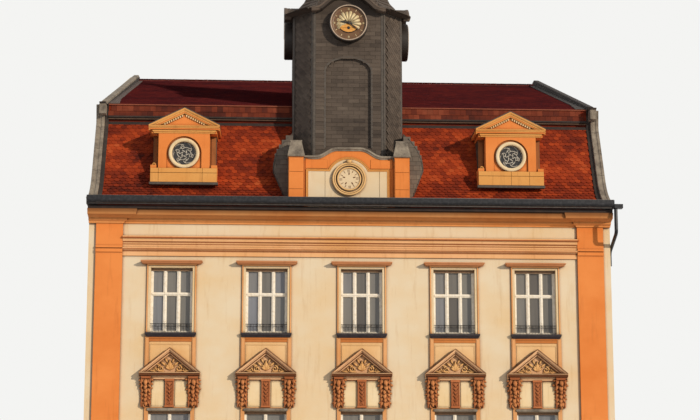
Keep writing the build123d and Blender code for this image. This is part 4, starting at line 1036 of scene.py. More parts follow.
# Carved leaf: a pointed blade with a rib, bowed outwards and rolled forward at its tip
def leafInto(bm, face, u, v, out, turn, length, width, bow, thick=0.012, lobes=2):
    along = Vector((math.sin(math.radians(turn)), math.cos(math.radians(turn))))
    across = Vector((along.y, -along.x))
    steps = 6
    fronts, backs = [], []
    for i in range(steps + 1):
        t = i / steps
        half = width / 2 * math.sin(math.pi * min(1, 0.12 + 0.88 * t) ** 0.8) ** 0.7
        half *= 1 - 0.16 * abs(math.sin(math.pi * lobes * t))
        half = max(half, 0.002)
        height = bow * math.sin(math.pi * (0.1 + 0.75 * t)) + bow * 0.5 * t * t
        rowFront, rowBack = [], []
        for j, side in enumerate((-1, -0.5, 0, 0.5, 1)):
            spot = Vector((u, v)) + along * (length * t) + across * (half * side)
            rib = (0.5, 0.1, 0.45, 0.1, 0.5)[j] * thick - abs(side) * bow * 0.45
            rowFront.append(bm.verts.new(at(face, spot.x, spot.y, out + height + rib + thick)))
            rowBack.append(bm.verts.new(at(face, spot.x, spot.y, out + (height + rib) * 0.35 - thick)))
        fronts.append(rowFront)
        backs.append(rowBack)
    for i in range(steps):
        for j in range(4):
            bm.faces.new((fronts[i][j], fronts[i][j + 1], fronts[i + 1][j + 1], fronts[i + 1][j]))
            bm.faces.new((backs[i][j], backs[i + 1][j], backs[i + 1][j + 1], backs[i][j + 1]))
        for j in (0, 4):
            bm.faces.new((fronts[i][j], fronts[i + 1][j], backs[i + 1][j], backs[i][j]))
    bm.faces.new(fronts[0] + list(reversed(backs[0])))
    bm.faces.new(fronts[-1] + list(reversed(backs[-1])))


# Carved scroll: a tapering roll wound round an eye
def scrollInto(bm, face, u, v, out, radius, turns, start, way, thick, steps=18):
    points, sizes = [], []
    for i in range(steps + 1):
        t = i / steps
        r = radius * (1 - t) ** 0.85 + thick * 0.35
        a = math.radians(start) + way * turns * 2 * math.pi * t
        points.append(at(face, u + r * math.cos(a), v + r * math.sin(a), out + thick * 0.6 * t))
        sizes.append(thick * (1 - 0.45 * t))
    barInto(bm, points, sizes, 6)


# Windows: sashes in the imported frames, panes in slightly different greys that paint reflection, iron rails

window = {
    "rows": ((1.25, 2.55, 3.3, 2), (5.05, 6.35, 7.11, 2), (9.29, 10.4, 11.13, 3)),
    "width": 1.17, "reveal": 0.13, "bar": 0.05, "mullion": 0.064, "portalBay": 2,
    "sash": 0.022, "railHeight": 0.26, "railBar": 0.007, "seed": 21,
}


# Width of one light, between the frame's bars and the mullions
def lightWidth(count):
    return (window["width"] - 2 * window["bar"] - (count - 1) * window["mullion"]) / count


# Lights of one window: left, right, low, high, place from the left, how many
def lightsOf(row, middle):
    sill, transom, head, count = window["rows"][row]
    wide = lightWidth(count)
    half = window["mullion"] / 2
    lights = []
    for low, high in ((sill + window["bar"], transom - half), (transom + half, head - window["bar"])):
        for i in range(count):
            left = middle - window["width"] / 2 + window["bar"] + i * (wide + window["mullion"])
            lights.append((left, left + wide, low, high, i, count))
    return lights


def windowsOf(face):
    side = 1 if face is facade else -1
    return [
        (row, side * x)
        for row in range(3)
        for i, x in enumerate(house["bays"])
        if row > 0 or i != window["portalBay"]
    ]


sashes, lightSashes, panes, beads, boxes = [bmesh.new() for i in range(5)]
paneReflection = panes.faces.layers.float.new("pieceShade")
shadeOf = random.Random(window["seed"])
for face in (facade, rear):
    for row, middle in windowsOf(face):
        curtain = shadeOf.uniform(-0.12, 0.12)
        for left, right, low, high, i, count in lightsOf(row, middle):
            bar, front = window["sash"], -window["reveal"]
            section = (
                (0, front - 0.066), (0, front - 0.016), (bar * 0.65, front - 0.016), (bar, front - 0.034),
                (bar, front - 0.066)
            )
            rectangleInto(lightSashes if row == 1 else sashes, face, left, right, low, high, section)
            before = len(panes.faces)
            inset = bar - 0.006
            slabInto(
                panes, face, left + inset, right - inset, low + inset, high - inset, front - 0.062,
                front - 0.054
            )
            panes.faces.ensure_lookup_table()
            # Painted reflection on each pane: outer lights lighter than the middle ones, the lower left one
            # lighter still and the other lower ones darker, shifted per window and per pane
            lit = 0.72 if i in (0, count - 1) else 0.5
            if low < window["rows"][row][1]:
                lit += 0.08 if i == 0 else -0.06
            lit = max(0, min(1, lit + curtain + shadeOf.uniform(-0.1, 0.1)))
            for f in panes.faces[before:]:
                f[paneReflection] = lit
        # Rounded cover strip on each upright and a drip bar along the transom
        sill, transom, head, count = window["rows"][row]
        front = -window["reveal"]
        wide, mullion = lightWidth(count), window["mullion"]
        for i in range(count - 1):
            cu = middle - window["width"] / 2 + window["bar"] + wide + mullion / 2 + i * (wide + mullion)
            midSlabInto(beads, face, cu, 0.044, sill + 0.03, head - 0.05, front - 0.03, front + 0.004)
            midSlabInto(beads, face, cu, 0.016, sill + 0.03, head - 0.05, front, front + 0.016)
        midSlabInto(beads, face, middle, 0.55, transom - 0.044, transom + 0.044, front - 0.032, front + 0.008)
        midSlabInto(beads, face, middle, 0.55, transom - 0.014, transom + 0.02, front, front + 0.026)
        # Dark brown box at each window head: a blind box, dark to paint the shade under the head
        midSlabInto(boxes, face, middle, 0.583, head - 0.075, head - 0.001, front - 0.002, front + 0.03)
        midSlabInto(beads, face, middle, 0.575, sill, sill + 0.03, front - 0.002, front + 0.02)
addPiece("windowSashes", sashes, whitePaint)
addPiece("blindBoxes", boxes, headBoxBrown, bevel=0.004)
addPiece("windowLightSashes", lightSashes, greyPaint)
addPiece("windowBeads", beads, whitePaint, bevel=0.006)
addPiece("windowPanes", panes, paneGlass, hides=("window_glass",))

# Iron rails in front of the second-floor windows
bm = bmesh.new()
sill = window["rows"][2][0]
for x in house["bays"]:
    out = -window["reveal"] + 0.075
    for height, thick in ((window["railHeight"], 1.3), (window["railHeight"] - 0.07, 0.8), (0.035, 1.0)):
        barInto(
            bm, [at(facade, x - 0.583, sill + height, out), at(facade, x + 0.583, sill + height, out)],
            window["railBar"] * thick, 6
        )
    for i in range(13):
        u = x - 0.53 + 1.06 * i / 12
        barInto(
            bm, [at(facade, u, sill + 0.03, out), at(facade, u, sill + window["railHeight"], out)],
            window["railBar"] * 0.6, 5
        )
    for i in range(6):
        u = x - 0.53 + 1.06 * (i + 0.5) / 6
        turns = [math.pi * k / 5 for k in range(11)]
        circle = [at(facade, u + 0.028 * math.cos(a), sill + 0.225 + 0.028 * math.sin(a), out) for a in turns]
        barInto(bm, circle, window["railBar"] * 0.5, 5, ends=False)
addPiece("windowRails", bm, handPaint)
print("windows dressed")

# Sills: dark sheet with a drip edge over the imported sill
sillSteps = ((0.06, 0), (0.075, 0.03), (0.098, 0.06), (0.108, 0.1), (0.108, 0.12))
bm = bmesh.new()
for face in (facade, rear):
    for row, middle in windowsOf(face):
        sill = window["rows"][row][0]
        half = window["width"] / 2 + 0.018
        corniceInto(bm, face, middle - half, middle + half, sill - 0.12, sillSteps, 0.02)
        midSlabInto(bm, face, middle, 0.584, sill - 0.12, sill, -0.2, 0.01)
addPiece("sillMouldings", bm, sillSheet, bevel=0.004, hides=("window_sills",))

# Second-floor surrounds: outer bead and inner face, cornice hood, framed apron

surround = {
    "width": 0.105, "bead": 0.038, "out": 0.052, "face": 0.03, "lintelHalf": 0.66, "hoodFoot": 11.22,
    "hoodHalf": 0.67, "bedSteps": ((0.02, 0), (0.035, 0.012), (0.05, 0.03)),
    "hoodSteps": (
        (0.11, 0), (0.125, 0.012), (0.155, 0.02), (0.16, 0.045), (0.185, 0.055), (0.19, 0.08), (0.186, 0.09)
    ),
    "apronTop": 9.17, "apronFoot": 8.165, "apronHalf": 0.595, "stripEdge": 0.705, "strip": 0.11,
    "band": 0.13, "bandHalf": 0.594, "panelHalf": 0.56,
    "panelSection": ((0, 0.028), (0, 0.04), (0.012, 0.044), (0.024, 0.034), (0.024, 0.028)),
}
faceStucco, beadStucco, hoodStucco, apronStucco, bandStucco = [bmesh.new() for i in range(5)]
face, out, wide = surround["face"], surround["out"], surround["width"]
inner = wide - surround["bead"]
faceSection = ((0, -0.002), (0, face), (0.012, face + 0.008), (0.02, face), (inner, face), (inner, -0.002))
beadSection = (
    (inner, -0.002), (inner, out - 0.006), (inner + 0.01, out), (wide - 0.008, out), (wide, out - 0.012),
    (wide, -0.002),
)
for x in house["bays"]:
    sill, transom, head, count = window["rows"][2]
    w = window["width"] / 2
    path = ((x - w, sill), (x - w, head), (x + w, head), (x + w, sill))
    mouldingInto(faceStucco, facade, path, faceSection)
    mouldingInto(beadStucco, facade, path, beadSection)
    # Lintel face, bed moulding and the projecting board of the hood
    foot, half = surround["hoodFoot"], surround["hoodHalf"]
    midSlabInto(beadStucco, facade, x, surround["lintelHalf"], head + 0.1, foot + 0.01, -0.002, 0.045)
    bedLeft, bedRight = x - half + 0.02, x + half - 0.02
    corniceInto(beadStucco, facade, bedLeft, bedRight, foot - 0.03, surround["bedSteps"], 0.045)
    corniceInto(hoodStucco, facade, x - half, x + half, foot, surround["hoodSteps"], 0.045)
    # Apron: field, side strips, top band with a fillet and a small sunk panel
    top, low, edge = surround["apronTop"], surround["apronFoot"], surround["stripEdge"]
    midSlabInto(apronStucco, facade, x, surround["apronHalf"], low - 0.04, top, -0.002, 0.03)
    for side in (-1, 1):
        a, b = sorted((x + side * edge, x + side * (edge - surround["strip"])))
        slabInto(beadStucco, facade, a, b, low - 0.06, top, -0.002, 0.055)
        slabInto(beadStucco, facade, a + 0.02, b - 0.02, low - 0.06, top - 0.03, 0.05, 0.064)
    midSlabInto(bandStucco, facade, x, surround["bandHalf"], top - surround["band"], top, 0.02, 0.046)
    midSlabInto(bandStucco, facade, x, surround["bandHalf"], top - 0.05, top, 0.04, 0.06)
    w = surround["panelHalf"]
    rectangleInto(apronStucco, facade, x - w, x + w, top - 0.86, top - 0.2, surround["panelSection"])
addPiece("surroundFaces", faceStucco, palePaint, bevel=0.002, hides=("second_floor_surrounds",))
addPiece("surroundBeads", beadStucco, orangeTan, bevel=0.003)
addPiece("apronBands", bandStucco, bandOrange, bevel=0.003)
addPiece("windowHoods", hoodStucco, hoodBrown, bevel=0.003)
addPiece("windowAprons", apronStucco, apronTan, bevel=0.002)
print("second floor dressed")

# Thin brown fillets between the fasciae of the architrave, dark to paint the shade lines under the fasciae:
# low edge, high edge, reach
fillets = (
    (11.585, 11.602, 0.052), (11.645, 11.664, 0.102), (11.782, 11.8, 0.06), (11.842, 11.862, 0.064),
    (11.958, 11.99, 0.122),
)
bm = bmesh.new()
for low, high, out in fillets:
    slabInto(bm, facade, -6.47, 6.47, low, high, 0.02, out)
addPiece("architraveFillets", bm, shadeLineBrown, bevel=0.002)

# Portal: archivolt, imposts, keystone leaf, panelled leaves and a fanlight; a plain panelled back door
portal = {
    "x": house["bays"][2], "half": 0.9, "spring": 2.45, "band": 0.3, "floor": 0.15, "leaf": 0.807,
    "door": -0.13, "backHalf": 0.51, "backHead": 2.31, "lock": 1.04, "rays": 5, "rayTurn": 36,
    "archSection": (
        (0.015, 0.14), (0.015, 0.175), (0.06, 0.188), (0.075, 0.17), (0.19, 0.17), (0.205, 0.195),
        (0.26, 0.205), (0.29, 0.18), (0.29, 0.14),
    ),
    "impostSteps": ((0.02, 0), (0.03, 0.03), (0.06, 0.05), (0.06, 0.1), (0.04, 0.12)),
}
stucco, oak, ironwork, fan, fanPanes = [bmesh.new() for i in range(5)]
x, half, spring, floor, door = [portal[key] for key in ("x", "half", "spring", "floor", "door")]
panelSection = (
    (-0.03, door - 0.004), (-0.03, door + 0.014), (-0.015, door + 0.022), (0.0, door + 0.006),
    (0.0, door - 0.004),
)
knobProfile = (
    (0.0, door), (0.026, door), (0.026, door + 0.01), (0.011, door + 0.016), (0.011, door + 0.045),
    (0.0, door + 0.045),
)
path = [(x - half, floor)] + arc(x, spring, half, 180, 0, 32) + [(x + half, floor)]
mouldingInto(stucco, facade, path, portal["archSection"])
for side in (-1, 1):
    a, b = sorted((x + side * (half - 0.01), x + side * (half + portal["band"] + 0.02)))
    corniceInto(stucco, facade, a, b, spring - 0.1, portal["impostSteps"], 0.18)
    slabInto(stucco, facade, a, b, floor, 0.72, 0.1, 0.215)
leafInto(stucco, facade, x, spring + half + 0.33, 0.17, 180, 0.3, 0.2, 0.06)
# Doors: face, middle, leaves as (side, width), top
doors = (
    (facade, x, ((-1, portal["leaf"]), (1, portal["leaf"])), spring),
    (rear, -x, ((0, 2 * portal["backHalf"]),), portal["backHead"]),
)
for face, middle, leaves, high in doors:
    for side, wide in leaves:
        cu = middle + side * (wide / 2 + 0.003)
        left, right = cu - wide / 2 + 0.1, cu + wide / 2 - 0.1
        for low, top in ((floor + 0.16, 0.95), (1.07, 1.72), (1.84, high - 0.12)):
            rectangleInto(oak, face, left, right, low, top, panelSection)
            slabInto(oak, face, left + 0.06, right - 0.06, low + 0.06, top - 0.06, door - 0.004, door + 0.016)
        left, right = cu - wide / 2 + 0.04, cu + wide / 2 - 0.04
        slabInto(ironwork, face, left, right, floor + 0.02, floor + 0.13, door - 0.002, door + 0.004)
    lock = middle + (0.06 if leaves[0][0] else 0.43)
    latheInto(ironwork, face, lock, portal["lock"], knobProfile, 16)
    barInto(ironwork, [at(face, lock, 1.04, door + 0.04), at(face, lock + 0.11, 1.035, door + 0.04)], 0.01, 8)
midSlabInto(oak, facade, x, 0.035, floor + 0.01, spring - 0.01, door - 0.004, door + 0.03)
slabInto(
    oak, facade, x - half + 0.01, x + half - 0.01, spring - 0.03, spring + 0.05, door - 0.004, door + 0.05
)
hub, rayTurn = spring + 0.05, portal["rayTurn"]
for i in range(portal["rays"]):
    start, end = 180 - i * rayTurn - 2.5, 180 - (i + 1) * rayTurn + 2.5
    outer, inner = arc(x, hub, 0.76, start, end, 6), arc(x, hub, 0.26, end, start, 3)
    prismInto(fanPanes, facade, list(reversed(outer + inner)), door - 0.003, door + 0.004)
for i in range(1, portal["rays"]):
    a = math.radians(180 - i * rayTurn)
    ray = [at(facade, x + r * math.cos(a), hub + r * math.sin(a), door + 0.008) for r in (0.2, 0.82)]
    barInto(fan, ray, 0.022, 6)
for radius, thick in ((0.24, 0.03), (0.79, 0.035)):
    barInto(fan, [at(facade, u, v, door + 0.006) for u, v in arc(x, hub, radius, 180, 0, 28)], thick, 6)
addPiece("portalMouldings", stucco, palePaint, bevel=0.004)
addPiece("doorPanels", oak, doorOak, bevel=0.003)
addPiece("doorFittings", ironwork, handPaint, bevel=0.002)
addPiece("fanlightBars", fan, doorOak, smooth=True)
addPiece("fanlightPanes", fanPanes, paneGlass)
print("portal dressed")

# Pediments of the first floor, with carved fields, leafy consoles and a middle drop

pediment = {
    "foot": 8.085, "bed": 0.08, "height": 0.76, "half": 0.845, "field": 0.06, "panelFoot": 7.215,
    "blockHalf": 0.52, "panelHalf": 0.5, "dropHalf": 0.115, "drops": 5, "dropPace": 0.115,
    "friezeSteps": ((0.03, 0), (0.04, 0.03), (0.07, 0.06), (0.075, 0.1)),
    "bedSteps": ((0.09, 0), (0.11, 0.012), (0.155, 0.02), (0.165, 0.05), (0.19, 0.062), (0.195, 0.08)),
    "rakeSection": (
        (-0.125, 0.05), (-0.125, 0.14), (-0.105, 0.155), (-0.085, 0.15), (-0.08, 0.185), (-0.05, 0.19),
        (-0.045, 0.225), (-0.02, 0.235), (-0.008, 0.255), (0, 0.255), (0, 0.05),
    ),
    "crestEdge": ((-0.006, 0.1), (-0.006, 0.258), (0.01, 0.258), (0.014, 0.1)),
    "throatEdge": ((-0.085, 0.1), (-0.085, 0.192), (-0.068, 0.192), (-0.068, 0.1)),
    "panelSection": ((0, 0.026), (0, 0.036), (0.014, 0.044), (0.026, 0.032), (0.026, 0.026)),
    "ledgeSteps": ((0.03, 0), (0.05, 0.02), (0.055, 0.04), (0.05, 0.06), (0.03, 0.08)),
}
# Leaves of the carved field on each side: across, up, turn, length, width, bow
branchLeaves = (
    (0.16, 0.03, 82, 0.22, 0.07, 0.03), (0.36, 0.03, 80, 0.26, 0.055, 0.025),
    (0.1, 0.19, 52, 0.2, 0.06, 0.035), (0.26, 0.2, 66, 0.2, 0.06, 0.03),
    (0.06, 0.28, 30, 0.16, 0.055, 0.03), (0.5, 0.06, 75, 0.16, 0.05, 0.025),
)
raking, ledges, carving, panels, drops, edging = [bmesh.new() for i in range(6)]
for x in house["bays"]:
    foot, half, rise = pediment["foot"], pediment["half"], pediment["height"] - pediment["bed"]
    bedTop = foot + pediment["bed"]
    # Body behind the mouldings
    left, right = x - half + 0.05, x + half - 0.05
    body = (
        (left, foot + 0.02), (right, foot + 0.02), (right, bedTop), (x, bedTop + rise - 0.05), (left, bedTop)
    )
    prismInto(raking, facade, body, -0.002, pediment["field"])
    left, right = x - half + 0.2, x + half - 0.2
    corniceInto(raking, facade, left, right, foot - 0.1, pediment["friezeSteps"], 0.06)
    corniceInto(raking, facade, left, right, foot, pediment["bedSteps"], 0.06)
    rakeInto(raking, facade, x, bedTop, half, rise, pediment["rakeSection"])
    slope = rise / half
    # Dark edges: a strip along the crest of the rake, and strips in the throat of the bed and at the foot of
    # the level cornice that paint the shade there
    rakeInto(edging, facade, x, bedTop, half, rise, pediment["crestEdge"])
    rakeInto(edging, facade, x, bedTop, half - 0.02, rise - 0.02 * slope, pediment["throatEdge"])
    slabInto(edging, facade, x - half + 0.005, x + half - 0.005, foot - 0.004, foot + 0.045, 0.05, 0.262)
    # Carved field: a shell between two scrolled branches
    out = pediment["field"]
    for turn in (-62, -38, -14, 14, 38, 62):
        leafInto(carving, facade, x, bedTop + 0.1, out, turn, 0.21 - abs(turn) * 0.001, 0.075, 0.035)
    leafInto(carving, facade, x, bedTop + 0.07, out, 0, 0.3, 0.08, 0.05)
    for side in (-1, 1):
        scrollInto(carving, facade, x + side * 0.25, bedTop + 0.12, out + 0.02, 0.085, 1.4, 90, -side, 0.026)
        scrollInto(carving, facade, x + side * 0.43, bedTop + 0.075, out + 0.018, 0.06, 1.3, 90, side, 0.021)
        for across, up, turn, length, wide, bow in branchLeaves:
            leafInto(carving, facade, x + side * across, bedTop + up, out, side * turn, length, wide, bow)
    # Panels under the pediment and the strip between them
    low = pediment["panelFoot"]
    midSlabInto(panels, facade, x, pediment["blockHalf"], low - 0.02, foot - 0.09, -0.002, 0.028)
    midSlabInto(drops, facade, x, pediment["blockHalf"], foot - 0.115, foot - 0.005, -0.002, 0.062)
    for side in (-1, 1):
        a, b = sorted((x + side * 0.15, x + side * pediment["panelHalf"]))
        rectangleInto(panels, facade, a, b, low + 0.03, foot - 0.14, pediment["panelSection"])
    w = pediment["dropHalf"]
    midSlabInto(drops, facade, x, w, low + 0.02, foot - 0.09, 0.02, 0.075)
    for side in (-1, 1):
        a, b = sorted((x + side * w, x + side * (w - 0.028)))
        slabInto(drops, facade, a, b, low + 0.02, foot - 0.09, 0.07, 0.088)
    slabInto(drops, facade, x - w - 0.015, x + w + 0.015, low, low + 0.05, 0.02, 0.095)
    slabInto(drops, facade, x - w - 0.015, x + w + 0.015, foot - 0.15, foot - 0.09, 0.02, 0.1)
    for i in range(pediment["drops"]):
        v = foot - 0.17 - i * pediment["dropPace"]
        size = 1 - 0.09 * i
        leafInto(drops, facade, x, v, 0.068, 180, 0.13 * size, 0.075 * size, 0.03)
        for side in (-1, 1):
            turn, length, wide = 180 - side * 38, 0.1 * size, 0.05 * size
            leafInto(drops, facade, x + side * 0.008, v + 0.005, 0.066, turn, length, wide, 0.022)
    scrollInto(drops, facade, x, low + 0.1, 0.075, 0.05, 1.2, 90, 1, 0.014, 12)
    # Ledge over the window head
    corniceInto(ledges, facade, x - 0.56, x + 0.56, low - 0.105, pediment["ledgeSteps"], 0.03)
addPiece("pedimentMouldings", raking, pedimentTan, bevel=0.003, hides=("window_pediments",))
addPiece("pedimentEdges", edging, darkStuccoAndShade, bevel=0.003)
addPiece("pedimentCarving", carving, carvedStone, smooth=True)
addPiece("pedimentPanels", panels, palePaint, bevel=0.002)
addPiece("panelDrops", drops, terracotta)
addPiece("windowLedges", ledges, copingStone, bevel=0.003)

# Leafy consoles: a scroll-sided block wrapped in six tiers of curling leaves

console = {
    "spacing": 1.3, "top": 8.085, "height": 0.87, "tiers": 6, "half": 0.11, "flank": 0.118,
    "capSteps": ((0.0, 0), (0.02, 0.02), (0.03, 0.045)),
}
carver = random.Random(12)
blocks, leaves = bmesh.new(), bmesh.new()
for x in house["bays"]:
    for side in (-1, 1):
        cu = x + side * console["spacing"] / 2
        top, foot, half = console["top"], console["top"] - console["height"], console["half"]
        midSlabInto(blocks, facade, cu, 0.14, top - 0.05, top - 0.012, 0, 0.2)
        corniceInto(blocks, facade, cu - half, cu + half, top - 0.09, console["capSteps"], 0.16)
        profile = (
            (0, foot), (0.07, foot), (0.105, foot + 0.05), (0.1, foot + 0.11), (0.07, foot + 0.18),
            (0.075, foot + 0.36), (0.1, foot + 0.52), (0.15, foot + 0.66), (0.175, top - 0.16),
            (0.168, top - 0.09), (0, top - 0.09),
        )
        for edge in (-1, 1):
            flank = surface((cu + edge * console["flank"], house["front"], 0), (0, -1, 0), (0, 0, 1))
            prismInto(blocks, flank, profile, -0.014, 0.014)
        midSlabInto(blocks, facade, cu, half, foot + 0.03, top - 0.09, 0, 0.06)
        for tier in range(console["tiers"]):
            t = tier / (console["tiers"] - 1)
            v = top - 0.1 - t * 0.62
            lowest = 0.012 if tier == console["tiers"] - 1 else 0
            reach = 0.12 - 0.075 * math.sin(math.pi * min(1, t * 1.05) * 0.62) + lowest
            size = (1.0 - 0.22 * t) * carver.uniform(0.92, 1.12)
            turn = 180 + carver.uniform(-14, 14)
            leafInto(leaves, facade, cu, v, reach, turn, 0.185 * size, 0.12 * size, 0.055, 0.016)
            for edge in (-1, 1):
                u, turn = cu + edge * 0.05 * size, 180 - edge * carver.uniform(22, 44)
                leafInto(
                    leaves, facade, u, v + 0.02, reach - 0.03, turn, 0.18 * size, 0.1 * size, 0.05, 0.014
                )
                u, turn = cu + edge * 0.085 * size, 180 - edge * carver.uniform(54, 84)
                leafInto(
                    leaves, facade, u, v + 0.015, reach - 0.06, turn, 0.14 * size, 0.09 * size, 0.05, 0.014
                )
        scrollInto(leaves, facade, cu, foot + 0.075, 0.085, 0.07, 1.1, -90, side, 0.03, 12)
addPiece("consoleBlocks", blocks, terracotta, bevel=0.004, hides=("window_consoles",))
addPiece("consoleLeaves", leaves, consoleClay, smooth=True)
print("first floor pediments carved")

# Party walls and their copings, which stand only a little above the roof

parapet = {
    "outer": 7.44, "inner": 7.2, "upperOuter": 7.3, "high": 0.13, "ridgeRise": 0.17, "stone": 6, "pace": 0.13,
    "groove": 0.018, "kneeBlock": (1.02, 1.56, 15.86, 16.16), "flashing": (0.32, 0.14),
}
profileSide = surface((0, 0, 0), (0, 1, 0), (0, 0, 1))
lowerEdge = [p for p in bellCurve(14) if p[0] > -0.36] + [roof["break"], (roof["bandDepth"], roof["bandTop"])]
peak = (0.0, roof["ridge"][1] + parapet["ridgeRise"])


# Depth and height to a place on the front slope or, mirrored, on the back slope
def onSlope(point, side):
    return (side * -deep(point[0]), point[1])


# Splits a line into coping stones with open joints
def stonesAlong(line, count, pace):
    spots = [Vector((d, z)) for d, z, heading in paces(line, pace)] + [Vector(line[-1])]
    stones = []
    for first in range(0, len(spots) - 1, count):
        part = spots[first:first + count + 1]
        if len(part) < 2:
            continue
        part[0] = part[0] + (part[1] - part[0]).normalized() * 0.004
        part[-1] = part[-1] + (part[-2] - part[-1]).normalized() * 0.004
        stones.append(part)
    return stones


wallsWork, stoneWork, sootAndShadeWork, leadWork, stripWork = [bmesh.new() for i in range(5)]
for end in (-1, 1):
    front = [
        (deep(0), house["eave"] - 0.3), (deep(-0.34), house["eave"] + 0.02)
    ] + [onSlope(p, -1) for p in lowerEdge]
    back = [(-y, z) for y, z in reversed(front)]
    outline = [(deep(0), 0)] + front + [peak] + back + [(-deep(0), 0)]
    near, far = sorted((end * house["wallHalf"], end * house["roomHalf"]))
    prismInto(wallsWork, profileSide, outline, near, far)
    outer, inner = end * parapet["outer"], end * parapet["inner"]
    third = (outer - inner) / 3
    high, sunk = parapet["high"], parapet["high"] - parapet["groove"]
    for side in (-1, 1):
        # Grooved stones up the steep slope
        for stone in stonesAlong(lowerEdge, parapet["stone"], parapet["pace"]):
            path = [onSlope(p, side) for p in (stone if side < 0 else reversed(stone))]
            section = (
                (-0.04, outer), (high - 0.01, outer), (high, outer - third * 0.1), (high, outer - third),
                (sunk, outer - third * 1.15), (sunk, inner + third * 1.15), (high, inner + third),
                (high, inner + third * 0.1), (high - 0.01, inner), (-0.04, inner),
            )
            mouldingInto(stoneWork, profileSide, path, section)
        # Flat stones up the upper slope, lapping over both faces of the wall; on the right-hand wall they are
        # dark stone, painting the shade on it
        foot = (roof["bandDepth"] - 0.1, roof["bandTop"] + 0.02)
        top = (-deep(0) - 0.01, peak[1])
        edge, far = end * (house["roomHalf"] + 0.01), end * parapet["upperOuter"]
        section = (
            (-0.02, far), (0.05, far), (0.075, far - third * 0.2), (0.075, edge + third * 0.2), (0.05, edge),
            (-0.02, edge),
        )
        for stone in stonesAlong([foot, top], parapet["stone"], parapet["pace"]):
            path = [onSlope(p, side) for p in (stone if side < 0 else reversed(stone))]
            mouldingInto(sootAndShadeWork if end > 0 else stoneWork, profileSide, path, section)
        # Dark strip between the tiles and the stones, painting the shade in the gap
        path = [onSlope(p, side) for p in (lowerEdge if side < 0 else reversed(lowerEdge))]
        rim = end * (house["roomHalf"] - 0.012)
        mouldingInto(
            stripWork, profileSide, path, ((-0.05, inner), (0.07, inner), (0.045, rim), (-0.05, rim))
        )
        # Dark strip on the room side of the upper wall, painting the shade on that face
        path = [onSlope(p, side) for p in ([foot, top] if side < 0 else [top, foot])]
        wall = end * house["roomHalf"]
        mouldingInto(stripWork, profileSide, path, ((-0.4, wall), (0.01, wall), (0.01, rim), (-0.4, rim)))
        # Block at the knee with its dark cap
        d1, d2, z1, z2 = parapet["kneeBlock"]
        y1, y2 = sorted((side * -deep(d1), side * -deep(d2)))
        a, b = sorted((end * 7.33, inner - end * 0.06))
        slabInto(stoneWork, profileSide, y1, y2, z1, z2, a, b)
        slabInto(sootAndShadeWork, profileSide, y1 - 0.03, y2 + 0.03, z2, z2 + 0.05, a, b)
        a, b = sorted((outer, inner - end * 0.06))
        # Kneeler over the eave: two projecting courses
        y1, y2 = sorted((side * -deep(-0.44), side * -deep(0.12)))
        slabInto(stoneWork, profileSide, y1, y2, house["eave"] + 0.03, house["eave"] + 0.17, a, b)
        y1, y2 = sorted((side * -deep(-0.5), side * -deep(0.2)))
        slabInto(stoneWork, profileSide, y1, y2, house["eave"] + 0.17, house["eave"] + 0.23, a, b)
        # Flashing on the tiles beside the wall, wider at the knee; dark stone on the right-hand wall paints
        # the shade there
        low = Vector((0, side * -deep(roof["bandDepth"] + 0.05), roof["bandTop"] + 0.02))
        tip = Vector((0, 0, roof["ridge"][1]))
        slope = surface(low, (1, 0, 0), tip - low)
        wide, narrow = parapet["flashing"]
        x0 = end * house["roomHalf"]
        length = (tip - low).length
        corners = ((x0, 0), (x0 - end * wide, 0), (x0 - end * (wide * 0.6), 1.6), (x0 - end * narrow, length))
        corners += ((x0, length),)
        near, far = (0.0, 0.05) if side < 0 else (-0.05, 0.0)
        prismInto(sootAndShadeWork if end > 0 else leadWork, slope, corners, near, far)
addPiece(
    "partyWalls", wallsWork, creamRender,
    hides=("left_party_wall", "right_party_wall", "party_wall_copings")
)
addPiece("copingStones", stoneWork, copingStone, bevel=0.006)
addPiece("sootyCopings", sootAndShadeWork, darkStone, bevel=0.006)
addPiece("wallFlashings", leadWork, flashingLead, bevel=0.004)
addPiece("wallEdges", stripWork, darkStone)
print("party walls and copings done")

# Dormers: mouldings, ring with a wrought grille, slate cheeks, jointed base and a lead roof

